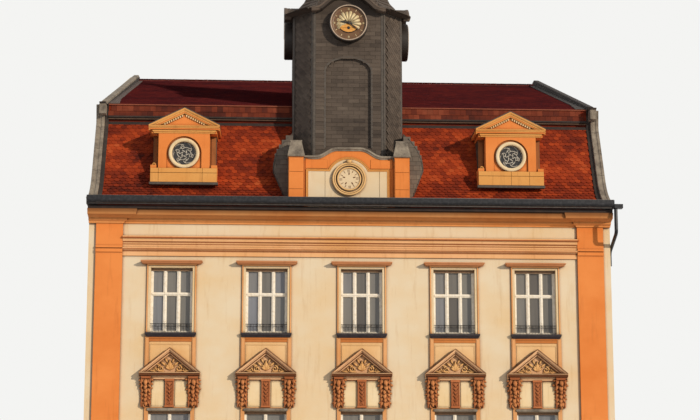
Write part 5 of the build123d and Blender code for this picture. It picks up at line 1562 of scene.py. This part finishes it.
dormer = {
    "centres": (
        -4.79, 4.63
    ), "plane": deep(0.3), "foot": 13.65, "body": 14.06, "cornice": 15.08, "gable": 15.295,
    "half": 1.015, "rise": 0.505, "ring": 14.5, "ringIn": 0.345, "ringOut": 0.44, "depth": 1.4,
    "joints": ((-0.72, 0.53), (0.0, 0.53)),
}
dormerFace = surface((0, dormer["plane"], 0), (1, 0, 0), (0, 0, 1))
mouldings, dentils, fields, rings, grille, cheeks, blocks, backing, covers, jambs = [
    bmesh.new() for i in range(10)
]
cheekShade = cheeks.faces.layers.float.new("pieceShade")
shadeOf = random.Random(9)
for x, joints in zip(dormer["centres"], dormer["joints"]):
    gable, half, rise = dormer["gable"], dormer["half"], dormer["rise"]
    slope = rise / half
    # Raking and level mouldings
    section = (
        (-0.125, 0.02), (-0.125, 0.075), (-0.1, 0.085), (-0.085, 0.065), (-0.075, 0.1), (-0.045, 0.105),
        (-0.035, 0.12), (-0.012, 0.135), (0.012, 0.14), (0.018, 0.12), (0.018, 0.02),
    )
    rakeInto(mouldings, dormerFace, x, gable, half, rise, section)
    corniceInto(
        mouldings, dormerFace, x - 0.9, x + 0.9, gable - 0.1,
        ((0.03, 0), (0.04, 0.02), (0.085, 0.035), (0.09, 0.06), (0.11, 0.075), (0.115, 0.1)), 0.02
    )
    corniceInto(
        mouldings, dormerFace, x - 0.84, x + 0.84, dormer["cornice"],
        ((0.03, 0), (0.035, 0.03), (0.06, 0.045), (0.065, 0.085)), 0.03
    )
    # Dentils follow the raking mouldings
    for side in (-1, 1):
        for i in range(13):
            u = 0.06 + i * 0.062
            v = gable + rise - 0.2 - u * slope
            if v > gable + 0.01:
                a, b = sorted((x + side * (u - 0.019), x + side * (u + 0.019)))
                slabInto(dentils, dormerFace, a, b, v, v + 0.05, 0.02, 0.07)
    prismInto(
        fields, dormerFace, ((x - 0.72, gable + 0.004), (x + 0.72, gable + 0.004), (x, gable + 0.36)), 0.015,
        0.032
    )
    midSlabInto(fields, dormerFace, x, 0.62, gable + 0.004, gable + 0.06, 0.02, 0.045)
    # Ring of the round window
    middle = (dormer["ringIn"] + dormer["ringOut"]) / 2
    section = (
        (-0.049, 0.0), (-0.049, 0.064), (-0.03, 0.078), (0.012, 0.084), (0.03, 0.07), (0.051, 0.064),
        (0.051, 0.0)
    )
    circleInto(rings, dormerFace, x, dormer["ring"], middle, 48, section)
    # Wrought grille: a hoop, a small ring, six S scrolls and short curls
    out = -0.03
    hoop = [at(dormerFace, u, v, out) for u, v in arc(x, dormer["ring"], 0.33, 0, 360, 32)]
    barInto(grille, hoop, 0.009, 5, ends=False)
    small = [at(dormerFace, u, v, out) for u, v in arc(x, dormer["ring"], 0.06, 0, 360, 16)]
    barInto(grille, small, 0.01, 5, ends=False)
    for k in range(6):
        base = math.radians(60 * k + 12)
        curl = []
        for i in range(19):
            t = i / 18
            r = 0.06 + 0.26 * t
            a = base + 0.9 * math.sin(2 * math.pi * t) * (1 - 0.35 * t)
            curl.append(at(dormerFace, x + r * math.cos(a), dormer["ring"] + r * math.sin(a), out))
        barInto(grille, curl, [0.018 - 0.006 * i / 18 for i in range(19)], 5)
        turn = math.degrees(base) + 30
        cu, cv = x + 0.2 * math.cos(math.radians(turn)), dormer["ring"] + 0.2 * math.sin(math.radians(turn))
        scrollInto(grille, dormerFace, cu, cv, out, 0.065, 1.2, turn, 1 if k % 2 else -1, 0.017, 14)
    # Slate cheeks beside the body and along the sides
    for side in (-1, 1):
        for row in range(9):
            low = dormer["body"] + 0.02 + row * 0.112
            flank = surface((x + side * 0.892, dormer["plane"], 0), (0, side, 0), (0, 0, 1))
            for column in range(5):
                near = 0.33 + column * 0.21
                a, b = sorted((side * near, side * (near + 0.2)))
                shadeFrom = len(cheeks.faces)
                slabInto(cheeks, flank, a, b, low, low + 0.118, 0, 0.014)
                cheeks.faces.ensure_lookup_table()
                shade = shadeOf.uniform(0.1, 0.9)
                for f in cheeks.faces[shadeFrom:]:
                    f[cheekShade] = shade
        # Brown strips at the front beside the body, darker than the orange to paint the shade there
        a, b = sorted((x + side * 0.735, x + side * 0.9))
        slabInto(jambs, dormerFace, a, b, dormer["body"] + 0.02, dormer["cornice"] - 0.02, -0.34, -0.318)
        slabInto(
            jambs, dormerFace, a + 0.03, b - 0.03, dormer["body"] + 0.02, dormer["cornice"] - 0.06, -0.32,
            -0.306
        )
    # Base of jointed blocks, one joint line below the sill, and a scroll on the left ear
    foot, body = dormer["foot"], dormer["body"]
    edges = (-0.95,) + joints + (0.95,)
    midSlabInto(backing, dormerFace, x, 0.94, foot + 0.01, body - 0.01, 0.045, 0.053)
    for a, b in zip(edges, edges[1:]):
        slabInto(blocks, dormerFace, x + a + 0.004, x + b - 0.004, foot + 0.004, foot + 0.268, 0.048, 0.068)
        slabInto(blocks, dormerFace, x + a + 0.004, x + b - 0.004, foot + 0.277, body - 0.002, 0.048, 0.075)
    scrollInto(blocks, dormerFace, x - 0.86, body + 0.1, 0.03, 0.06, 1.3, 200, 1, 0.022, 14)
    # Lead on both slopes, and an apron under the base
    for side in (-1, 1):
        ends = (
            (x, gable + rise + 0.02), (x, gable + rise + 0.055), (x + side * 1.02, gable + 0.05),
            (x + side * 1.02, gable + 0.015)
        )
        prismInto(
            covers, dormerFace, ends if side > 0 else tuple(reversed(ends)), -dormer["depth"] + 0.1, 0.1
        )
    midSlabInto(covers, dormerFace, x, 0.98, foot - 0.07, foot + 0.004, -0.1, 0.06)
addPiece("dormerMouldings", mouldings, goldStucco, bevel=0.003)
addPiece("dormerDentils", dentils, apronTan)
addPiece("dormerFields", fields, orangeRender)
addPiece("oculusMouldings", rings, palePaint, smooth=True)
addPiece("oculusGrilles", grille, grilleIron, smooth=True)
addPiece("dormerCheeks", cheeks, slates)
addPiece("dormerJambs", jambs, shadedJambBrown, bevel=0.004)
addPiece("dormerBlocks", blocks, goldStucco, bevel=0.004)
addPiece("dormerJoints", backing, darkStuccoAndShade)
addPiece("dormerCovers", covers, leadStrip, bevel=0.004)
print("dormers dressed")

# Attic gable: cream field framed by a thin moulding, medallion, pier caps, pale coping

gable = {
    "face": deep(-0.16), "pier": deep(-0.31), "axis": house["axisX"], "inner": 1.29, "outer": 1.72,
    "medallion": 13.68, "fieldFoot": 12.84, "fieldTop": 13.93, "fieldHalf": (1.17, 1.1),
    "pierTop": 14.35, "joints": (-0.68, 0.87),
}
gableFace = surface((0, gable["face"], 0), (1, 0, 0), (0, 0, 1))
pierFace = surface((0, gable["pier"], 0), (1, 0, 0), (0, 0, 1))
fields, lines, copings, bands, marks, rims = [bmesh.new() for i in range(6)]
middle, level = gable["axis"], gable["medallion"]
left, right = middle - gable["fieldHalf"][0], middle + gable["fieldHalf"][1]
foot, top = gable["fieldFoot"], gable["fieldTop"]
# Field in three jointed panels, arched over the medallion
slabInto(fields, gableFace, left, middle + gable["joints"][0] - 0.004, foot, top, 0.0, 0.02)
slabInto(fields, gableFace, middle + gable["joints"][1] + 0.004, right, foot, top, 0.0, 0.02)
hump = arc(middle, level, 0.6, 156, 24, 16)
panel = [(middle + gable["joints"][1] - 0.004, foot), (middle + gable["joints"][1] - 0.004, top)] + hump[::-1]
panel += [(middle + gable["joints"][0] + 0.004, top), (middle + gable["joints"][0] + 0.004, foot)]
prismInto(fields, gableFace, panel, 0.0, 0.02)
frameLine = [(left, foot), (left, top)] + hump + [(right, top), (right, foot)]
mouldingInto(
    lines, gableFace, frameLine,
    (
        (-0.012, 0.0), (-0.012, 0.03), (0.002, 0.034), (0.01, 0.024), (0.03, 0.024), (0.036, 0.036),
        (0.05, 0.034), (0.05, 0.0)
    )
)
# Orange band over the field keeps two shallow blocks beside the crown
for side in (-1, 1):
    a, b = sorted((middle + side * 0.62, middle + side * 1.24))
    slabInto(bands, gableFace, a, b, 14.0, 14.26, 0.0, 0.014)
# Medallion: rim, channel, second rim, disc with the marks of a dial
out = 0.09
for radius, wide, high in ((0.452, 0.026, 0.034), (0.4, 0.02, 0.022), (0.322, 0.022, 0.028)):
    section = (
        (-wide, out - 0.01), (-wide, out + high * 0.6), (-wide * 0.4, out + high), (wide * 0.4, out + high),
        (wide, out + high * 0.6), (wide, out - 0.01)
    )
    circleInto(rims, gableFace, middle, level, radius, 56, section)
for k in range(12):
    turn = math.radians(30 * k + 4)
    across = Vector((math.cos(turn), math.sin(turn)))
    for shift in ((0,) if k % 3 else (-0.018, 0.018)):
        spot = Vector((middle, level)) + across * 0.235 + Vector((-across.y, across.x)) * shift
        tick = surface(at(gableFace, spot.x, spot.y, out), (-across.y, 0, across.x), (across.x, 0, across.y))
        slabInto(marks, tick, -0.006, 0.006, -0.04, 0.035, -0.004, 0.006)
for k in range(5):
    turn = 72 * k + 18
    cu, cv = middle + 0.12 * math.cos(math.radians(turn)), level + 0.12 * math.sin(math.radians(turn))
    leafInto(marks, gableFace, cu, cv, out, 90 - turn, 0.075, 0.03, 0.006, 0.003)
prismInto(
    rims, gableFace,
    (
        (middle - 0.06, level + 0.45), (middle + 0.06, level + 0.45), (middle + 0.075, level + 0.555),
        (middle - 0.075, level + 0.555)
    ),
    0.0, out + 0.04
)
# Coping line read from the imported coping, with a thin pale bed under it
edge = sorted({
    (round(v.co.x, 3), round(v.co.z, 3))
    for v in nodes["gable_coping"].data.vertices
    if abs(v.co.y - deep(-0.22)) < 2e-3
})
lowest = {}
for u, v in edge:
    lowest[u] = min(v, lowest.get(u, 99))
bed = [(u, v) for u, v in sorted(lowest.items())]
mouldingInto(
    copings, gableFace, bed,
    ((-0.05, 0.0), (-0.05, 0.018), (-0.02, 0.03), (-0.008, 0.052), (0.004, 0.052), (0.004, 0.0))
)
# Pier faces in two blocks, pale bed moulding and cap plate
for side in (-1, 1):
    a, b = sorted((middle + side * gable["inner"], middle + side * gable["outer"]))
    for low, high in ((12.86, 13.36), (13.368, 13.86), (13.868, 14.27)):
        slabInto(bands, pierFace, a + 0.012, b - 0.012, low, high, 0.0, 0.014)
    corniceInto(
        copings, pierFace, a + 0.01, b - 0.01, gable["pierTop"] - 0.045,
        ((0.02, 0), (0.028, 0.015), (0.035, 0.03), (0.035, 0.05)), 0.0101
    )
    for flankSide in (-1, 1):
        cheek = a if flankSide < 0 else b
        slabInto(
            copings, pierFace, min(cheek, cheek + flankSide * 0.03), max(cheek, cheek + flankSide * 0.03),
            gable["pierTop"] - 0.045, gable["pierTop"] + 0.005, -0.5, 0.03
        )
    slabInto(
        copings, pierFace, (a + b) / 2 - 0.17, (a + b) / 2 + 0.17, gable["pierTop"] + 0.425,
        gable["pierTop"] + 0.455, -0.44, -0.09
    )
addPiece("gableFields", fields, creamRender, bevel=0.003)
addPiece("gableLines", lines, goldStucco, bevel=0.002)
addPiece("gableBlocks", bands, orangeRender, bevel=0.004)
addPiece("medallionRims", rims, ringCream, smooth=True)
addPiece("medallionMarks", marks, darkStuccoAndShade)
addPiece("gableBeds", copings, copingStone, bevel=0.003)

# Slates on the swellings beside the tower foot
flankSpots = []
swell = ((13.1, 0.2), (14.05, 0.575), (14.43, 0.52), (14.75, 0.36), (15.0, 0.15))
flankFace = surface((0, deep(0.25), 0), (1, 0, 0), (0, 0, 1))
z = 13.12
row = 0
while z < 14.9:
    reach = lineAt(swell, z + 0.05)
    for side in (-1, 1):
        base = middle + side * tower["half"]
        a, b = sorted((base, base + side * reach))
        laySpan(flankSpots, flankFace, a, b, z, 0.002, row % 2, 0.2)
    z += 0.135
    row += 1
layPlates("flankSlates", flankSpots, bellPlate, paleSlates, 0.001, 0.015, slate["seed"] + 5)
bm = bmesh.new()
for side in (-1, 1):
    edge = [
        at(flankFace, middle + side * (tower["half"] + reach - 0.015), up, 0.012) for up, reach in swell[1:]
    ]
    smooth = [edge[0]]
    for a, b, c in zip(edge, edge[1:], edge[2:]):
        smooth += [(a + b * 3) / 4, (b * 3 + c) / 4]
    barInto(bm, smooth + [edge[-1]], 0.02, 6)
    barInto(
        bm, [at(flankFace, middle + side * (tower["half"] + swell[0][1]), swell[0][0], 0.012), edge[0]], 0.02,
        6
    )
addPiece("flankEdges", bm, leadStrip, smooth=True)
print("attic gable dressed")

# Clocks: dark drum, brown-gold dial with gilded petals, a lens with a dark eye, pale ring; hands in front

clock = {
    "level": 18.385, "radius": 0.5, "drum": 0.56, "front": 0.262, "dial": 0.2, "hourOut": 0.226,
    "minuteOut": 0.24, "ring": 0.522, "petals": 12, "marks": 0.425, "loops": ((-78, 0.2), (-100, 0.22)),
}
towerAxis = (tower["axisX"], tower["axisY"])
clockFaces = {
    "front": surface((towerAxis[0], towerAxis[1] - tower["half"], clock["level"]), (1, 0, 0), (0, 0, 1)),
    "left": surface((towerAxis[0] - tower["half"], towerAxis[1], clock["level"]), (0, -1, 0), (0, 0, 1)),
    "right": surface((towerAxis[0] + tower["half"], towerAxis[1], clock["level"]), (0, 1, 0), (0, 0, 1)),
}
drums, dials, petals, lenses, ticks, rimRings = [bmesh.new() for i in range(6)]
front, flat = clock["front"], clock["dial"]
wide = (clock["drum"] - clock["radius"]) / 2
drumSection = (
    (-wide, 0.0), (-wide, front - 0.012), (-wide * 0.5, front), (wide * 0.6, front), (wide, front - 0.02),
    (wide, front - 0.06), (wide * 0.7, front - 0.07), (wide * 0.7, 0.03), (wide, 0.02), (wide, 0.0),
)
ringSection = (
    (-0.016, front - 0.004), (-0.016, front + 0.004), (-0.006, front + 0.014), (0.008, front + 0.014),
    (0.018, front + 0.002), (0.018, front - 0.004),
)
dialProfile = (
    (0.0, 0.05), (0.503, 0.05), (0.503, flat + 0.012), (0.46, flat + 0.006), (0.44, flat),
    (0.12, flat - 0.004), (0.0, flat - 0.004),
)
eyeProfile = ((0.0, flat), (0.045, flat), (0.045, flat + 0.014), (0.02, flat + 0.017), (0.0, flat + 0.017))


# Surface turned clockwise on another, about its origin
def turnedSurface(face, a):
    across = face["right"] * math.cos(a) - face["up"] * math.sin(a)
    return surface(at(face, 0, 0, 0), across, face["right"] * math.sin(a) + face["up"] * math.cos(a))


for face in clockFaces.values():
    circleInto(drums, face, 0, 0, (clock["radius"] + clock["drum"]) / 2, 64, drumSection)
    latheInto(dials, face, 0, 0, dialProfile, 64)
    # Pale ring round the dial
    circleInto(rimRings, face, 0, 0, clock["ring"], 64, ringSection)
    # Gilded petals fan over the upper two thirds
    for i in range(clock["petals"]):
        blade = turnedSurface(face, math.radians(-115 + i * 230 / 11))
        reach = 0.35 if i % 2 else 0.37
        outline = (
            (-0.008, 0.06), (0.008, 0.06), (0.034, reach * 0.6), (0.046, reach - 0.04), (0.03, reach - 0.01),
            (0, reach), (-0.03, reach - 0.01), (-0.046, reach - 0.04), (-0.034, reach * 0.6),
        )
        prismInto(petals, blade, outline, flat - 0.004, flat + 0.008)
    # Two long loops on the left
    for turn, radius in clock["loops"]:
        a = math.radians(turn)
        cu, cv = radius * math.sin(a), radius * math.cos(a)
        loop = []
        for t in [2 * math.pi * k / 24 for k in range(25)]:
            u = cu + 0.14 * math.cos(t) * math.sin(a) - 0.035 * math.sin(t) * math.cos(a)
            v = cv + 0.14 * math.cos(t) * math.cos(a) + 0.035 * math.sin(t) * math.sin(a)
            loop.append((u, v))
        barInto(petals, [at(face, u, v, flat + 0.008) for u, v in loop], 0.007, 5, ends=False)
    # Lens with a dark eye in the lower third
    upper = arc(0, -0.35, 0.33, 142, 38, 12)
    lower = arc(0, 0.06, 0.33, -38, -142, 12)
    prismInto(lenses, face, upper + lower, flat - 0.003, flat + 0.01)
    latheInto(ticks, face, 0, -0.145, eyeProfile, 20)
    brow = [at(face, u, v, flat + 0.009) for u, v in arc(0, 0.02, 0.31, -40, -140, 12)]
    barInto(ticks, brow, 0.009, 5)
    # Marks of the hours round the rim, double at the quarters
    for k in range(12):
        turn = math.radians(30 * k)
        across = Vector((math.sin(turn), math.cos(turn)))
        for shift in ((-0.014, 0.014) if k % 3 == 0 else (0,)):
            spot = across * clock["marks"] + Vector((across.y, -across.x)) * shift
            right = face["right"] * across.y - face["up"] * across.x
            up = face["right"] * across.x + face["up"] * across.y
            tick = surface(at(face, spot.x, spot.y, flat), right, up)
            slabInto(petals, tick, -0.008, 0.008, -0.035, 0.035, 0.0, 0.01)
addPiece("clockDrums", drums, drumPaint, hides=("clock_bezels",))
addPiece("clockDialFaces", dials, dialPaint, hides=("clock_dials",))
addPiece("dialPetals", petals, gilding, smooth=True)
addPiece("dialLenses", lenses, orangeGilt, bevel=0.003)
addPiece("dialEyes", ticks, handPaint, smooth=True)
addPiece("dialRings", rimRings, paleGilt, smooth=True)

# Hands: a leaf-shaped blade with a hub and a round tail. No arbor is drawn between hub and dial
hands = {"minute": (0.4, 0.021, 126, clock["minuteOut"]), "hour": (0.27, 0.03, 280.5, clock["hourOut"])}
for turnName, face in clockFaces.items():
    for kind, (length, half, angle, out) in hands.items():
        bm = bmesh.new()
        blade = turnedSurface(face, math.radians(angle))
        # Outline from the tail round the tip, and the round plates at the hub and the tail
        outline = (
            (-half * 0.35, -length * 0.3), (half * 0.35, -length * 0.3), (half * 0.5, 0),
            (half, length * 0.45), (half * 0.55, length * 0.78), (0, length),
            (-half * 0.55, length * 0.78), (-half, length * 0.45), (-half * 0.5, 0),
        )
        prismInto(bm, blade, outline, out, out + 0.006)
        hub = (
            (0.0, out - 0.004), (0.04, out - 0.004), (0.04, out + 0.006), (0.025, out + 0.011),
            (0.0, out + 0.011)
        )
        latheInto(bm, blade, 0, 0, hub, 20)
        tail = ((0.0, out - 0.001), (0.024, out - 0.001), (0.024, out + 0.006), (0.0, out + 0.008))
        latheInto(bm, blade, 0, -length * 0.3, tail, 16)
        name, body = turnName + kind.capitalize() + "Hand", turnName + "_" + kind
        addPiece(name, bm, handPaint, body=body, bevel=0.001, hides=(body + "_hand",))
print("clocks dressed")

# Gutter: straps, joint sleeves and pale bars along its lip and bottom that paint its highlights; a near-black
# drip board that paints the shade under it
gutter = {
    "reach": -0.615, "rise": 0.115, "radius": 0.0925, "proud": 0.0035, "half": 7.39, "beadOut": 0.0825,
    "straps": [-7.0 + i * 0.933 for i in range(16)], "sleeves": (-4.2, 0.4, 4.3),
}


# Thin band of sheet round the trough
def troughBandInto(bm, x, y, side, halfWidth, top):
    ring = surface((x, y, house["eave"] + gutter["rise"]), (0, side, 0), (0, 0, 1))
    radius, proud = gutter["radius"], gutter["proud"]
    path = [(-radius, top)] + arc(0, 0, radius, 180, 360, 24) + [(radius, top)]
    section = ((-0.002, -halfWidth), (proud, -halfWidth), (proud, halfWidth), (-0.002, halfWidth))
    mouldingInto(bm, ring, path, section)


straps, edges, boards = bmesh.new(), bmesh.new(), bmesh.new()
half, eave = gutter["half"], house["eave"]
for side in (-1, 1):
    y = side * (-deep(gutter["reach"]))
    for x in gutter["straps"]:
        troughBandInto(straps, x, y, side, 0.012, 0.11)
    for x in gutter["sleeves"]:
        troughBandInto(straps, x, y, side, 0.045, 0.1)
    # Pale bars along the lip and along the round bottom paint the gutter's highlights
    bead = y + side * gutter["beadOut"]
    barInto(edges, [(-half, bead, eave + 0.226), (half, bead, eave + 0.226)], 0.012, 8)
    barInto(edges, [(-half, y, eave + 0.028), (half, y, eave + 0.028)], 0.026, 8)
    # Near-black drip board under the gutter, painting the shade there
    board = surface((0, side * -deep(0), 0), (-side, 0, 0), (0, 0, 1))
    slabInto(boards, board, -half, half, eave - 0.095, eave - 0.004, 0.34, 0.49)
addPiece("gutterStraps", straps, greySheetAndHighlight)
addPiece("gutterEdges", edges, greySheetAndHighlight, smooth=True)
addPiece("eaveBoards", boards, tarredBoardAndShade, bevel=0.003)
print("gutters dressed")

# Camera well back from the front, with a long lens tilted up
view = {"eye": (-2.03, -52.5, 4.2), "tilt": 9.21, "yaw": 2.71, "lens": 77.54, "shiftY": 0.09}
cameraData = bpy.data.cameras.new("view camera")
cameraData.lens = view["lens"]
cameraData.sensor_width = 36
cameraData.shift_y = view["shiftY"]
cameraData.clip_end = 500
camera = addObject("viewCamera", cameraData)
camera.location = view["eye"]
camera.rotation_euler = (math.radians(90 + view["tilt"]), 0, math.radians(-view["yaw"]))
bpy.context.scene.camera = camera

# Low warm sun from the right, over soft studio light from the sky
light = {"azimuth": 42, "height": 17, "strength": 2.9, "softness": 1.6, "sky": 0.47}
sunData = bpy.data.lights.new("sun", "SUN")
sunData.energy = light["strength"]
sunData.angle = math.radians(light["softness"])
sunData.color = hexColour("#fff1dc")[:3]
sun = addObject("sunLamp", sunData)
towards = Vector((math.sin(math.radians(light["azimuth"])), -math.cos(math.radians(light["azimuth"])), 0))
towards = towards * math.cos(math.radians(light["height"]))
towards.z = math.sin(math.radians(light["height"]))
sun.rotation_euler = towards.to_track_quat("Z", "Y").to_euler()

world = bpy.data.worlds.new("studio sky")
world.use_nodes = True
bpy.context.scene.world = world
skyTree = world.node_tree
skyTree.nodes.clear()
lightPath = addNode(skyTree, "ShaderNodeLightPath")
seen = addNode(
    skyTree, "ShaderNodeMath", {"operation": "MAXIMUM"}, links={
        0: lightPath.outputs["Is Camera Ray"], 1: lightPath.outputs["Is Glossy Ray"]
    }
)
seen = addNode(
    skyTree, "ShaderNodeMath", {"operation": "MAXIMUM"}, links={
        0: seen.outputs[0], 1: lightPath.outputs["Is Transmission Ray"]
    }
)
fill = addNode(
    skyTree, "ShaderNodeBackground", values={"Color": hexColour("#e8eef8"), "Strength": light["sky"]}
)
backdrop = addNode(skyTree, "ShaderNodeBackground", values={"Color": hexColour("#f4f4f2"), "Strength": 1.0})
both = addNode(
    skyTree, "ShaderNodeMixShader", links={0: seen.outputs[0], 1: fill.outputs[0], 2: backdrop.outputs[0]}
)
addNode(skyTree, "ShaderNodeOutputWorld", links={0: both.outputs[0]})

# Plain pale floor
floorMesh = bpy.data.meshes.new("studio floor")
floorMesh.from_pydata([(-90, -90, 0), (90, -90, 0), (90, 90, 0), (-90, 90, 0)], [], [(0, 1, 2, 3)])
floorObject = addObject("studioFloor", floorMesh)
floorPaint, _, floorShader = newMaterial("matt white floor paint")
floorShader.inputs["Base Color"].default_value = hexColour("#e6e4e0")
floorShader.inputs["Roughness"].default_value = 0.9
floorMesh.materials.append(floorPaint)
bpy.context.scene.view_settings.view_transform = "Standard"
print("camera, light and floor")

for pattern in patterns:
    bpy.data.objects.remove(pattern)
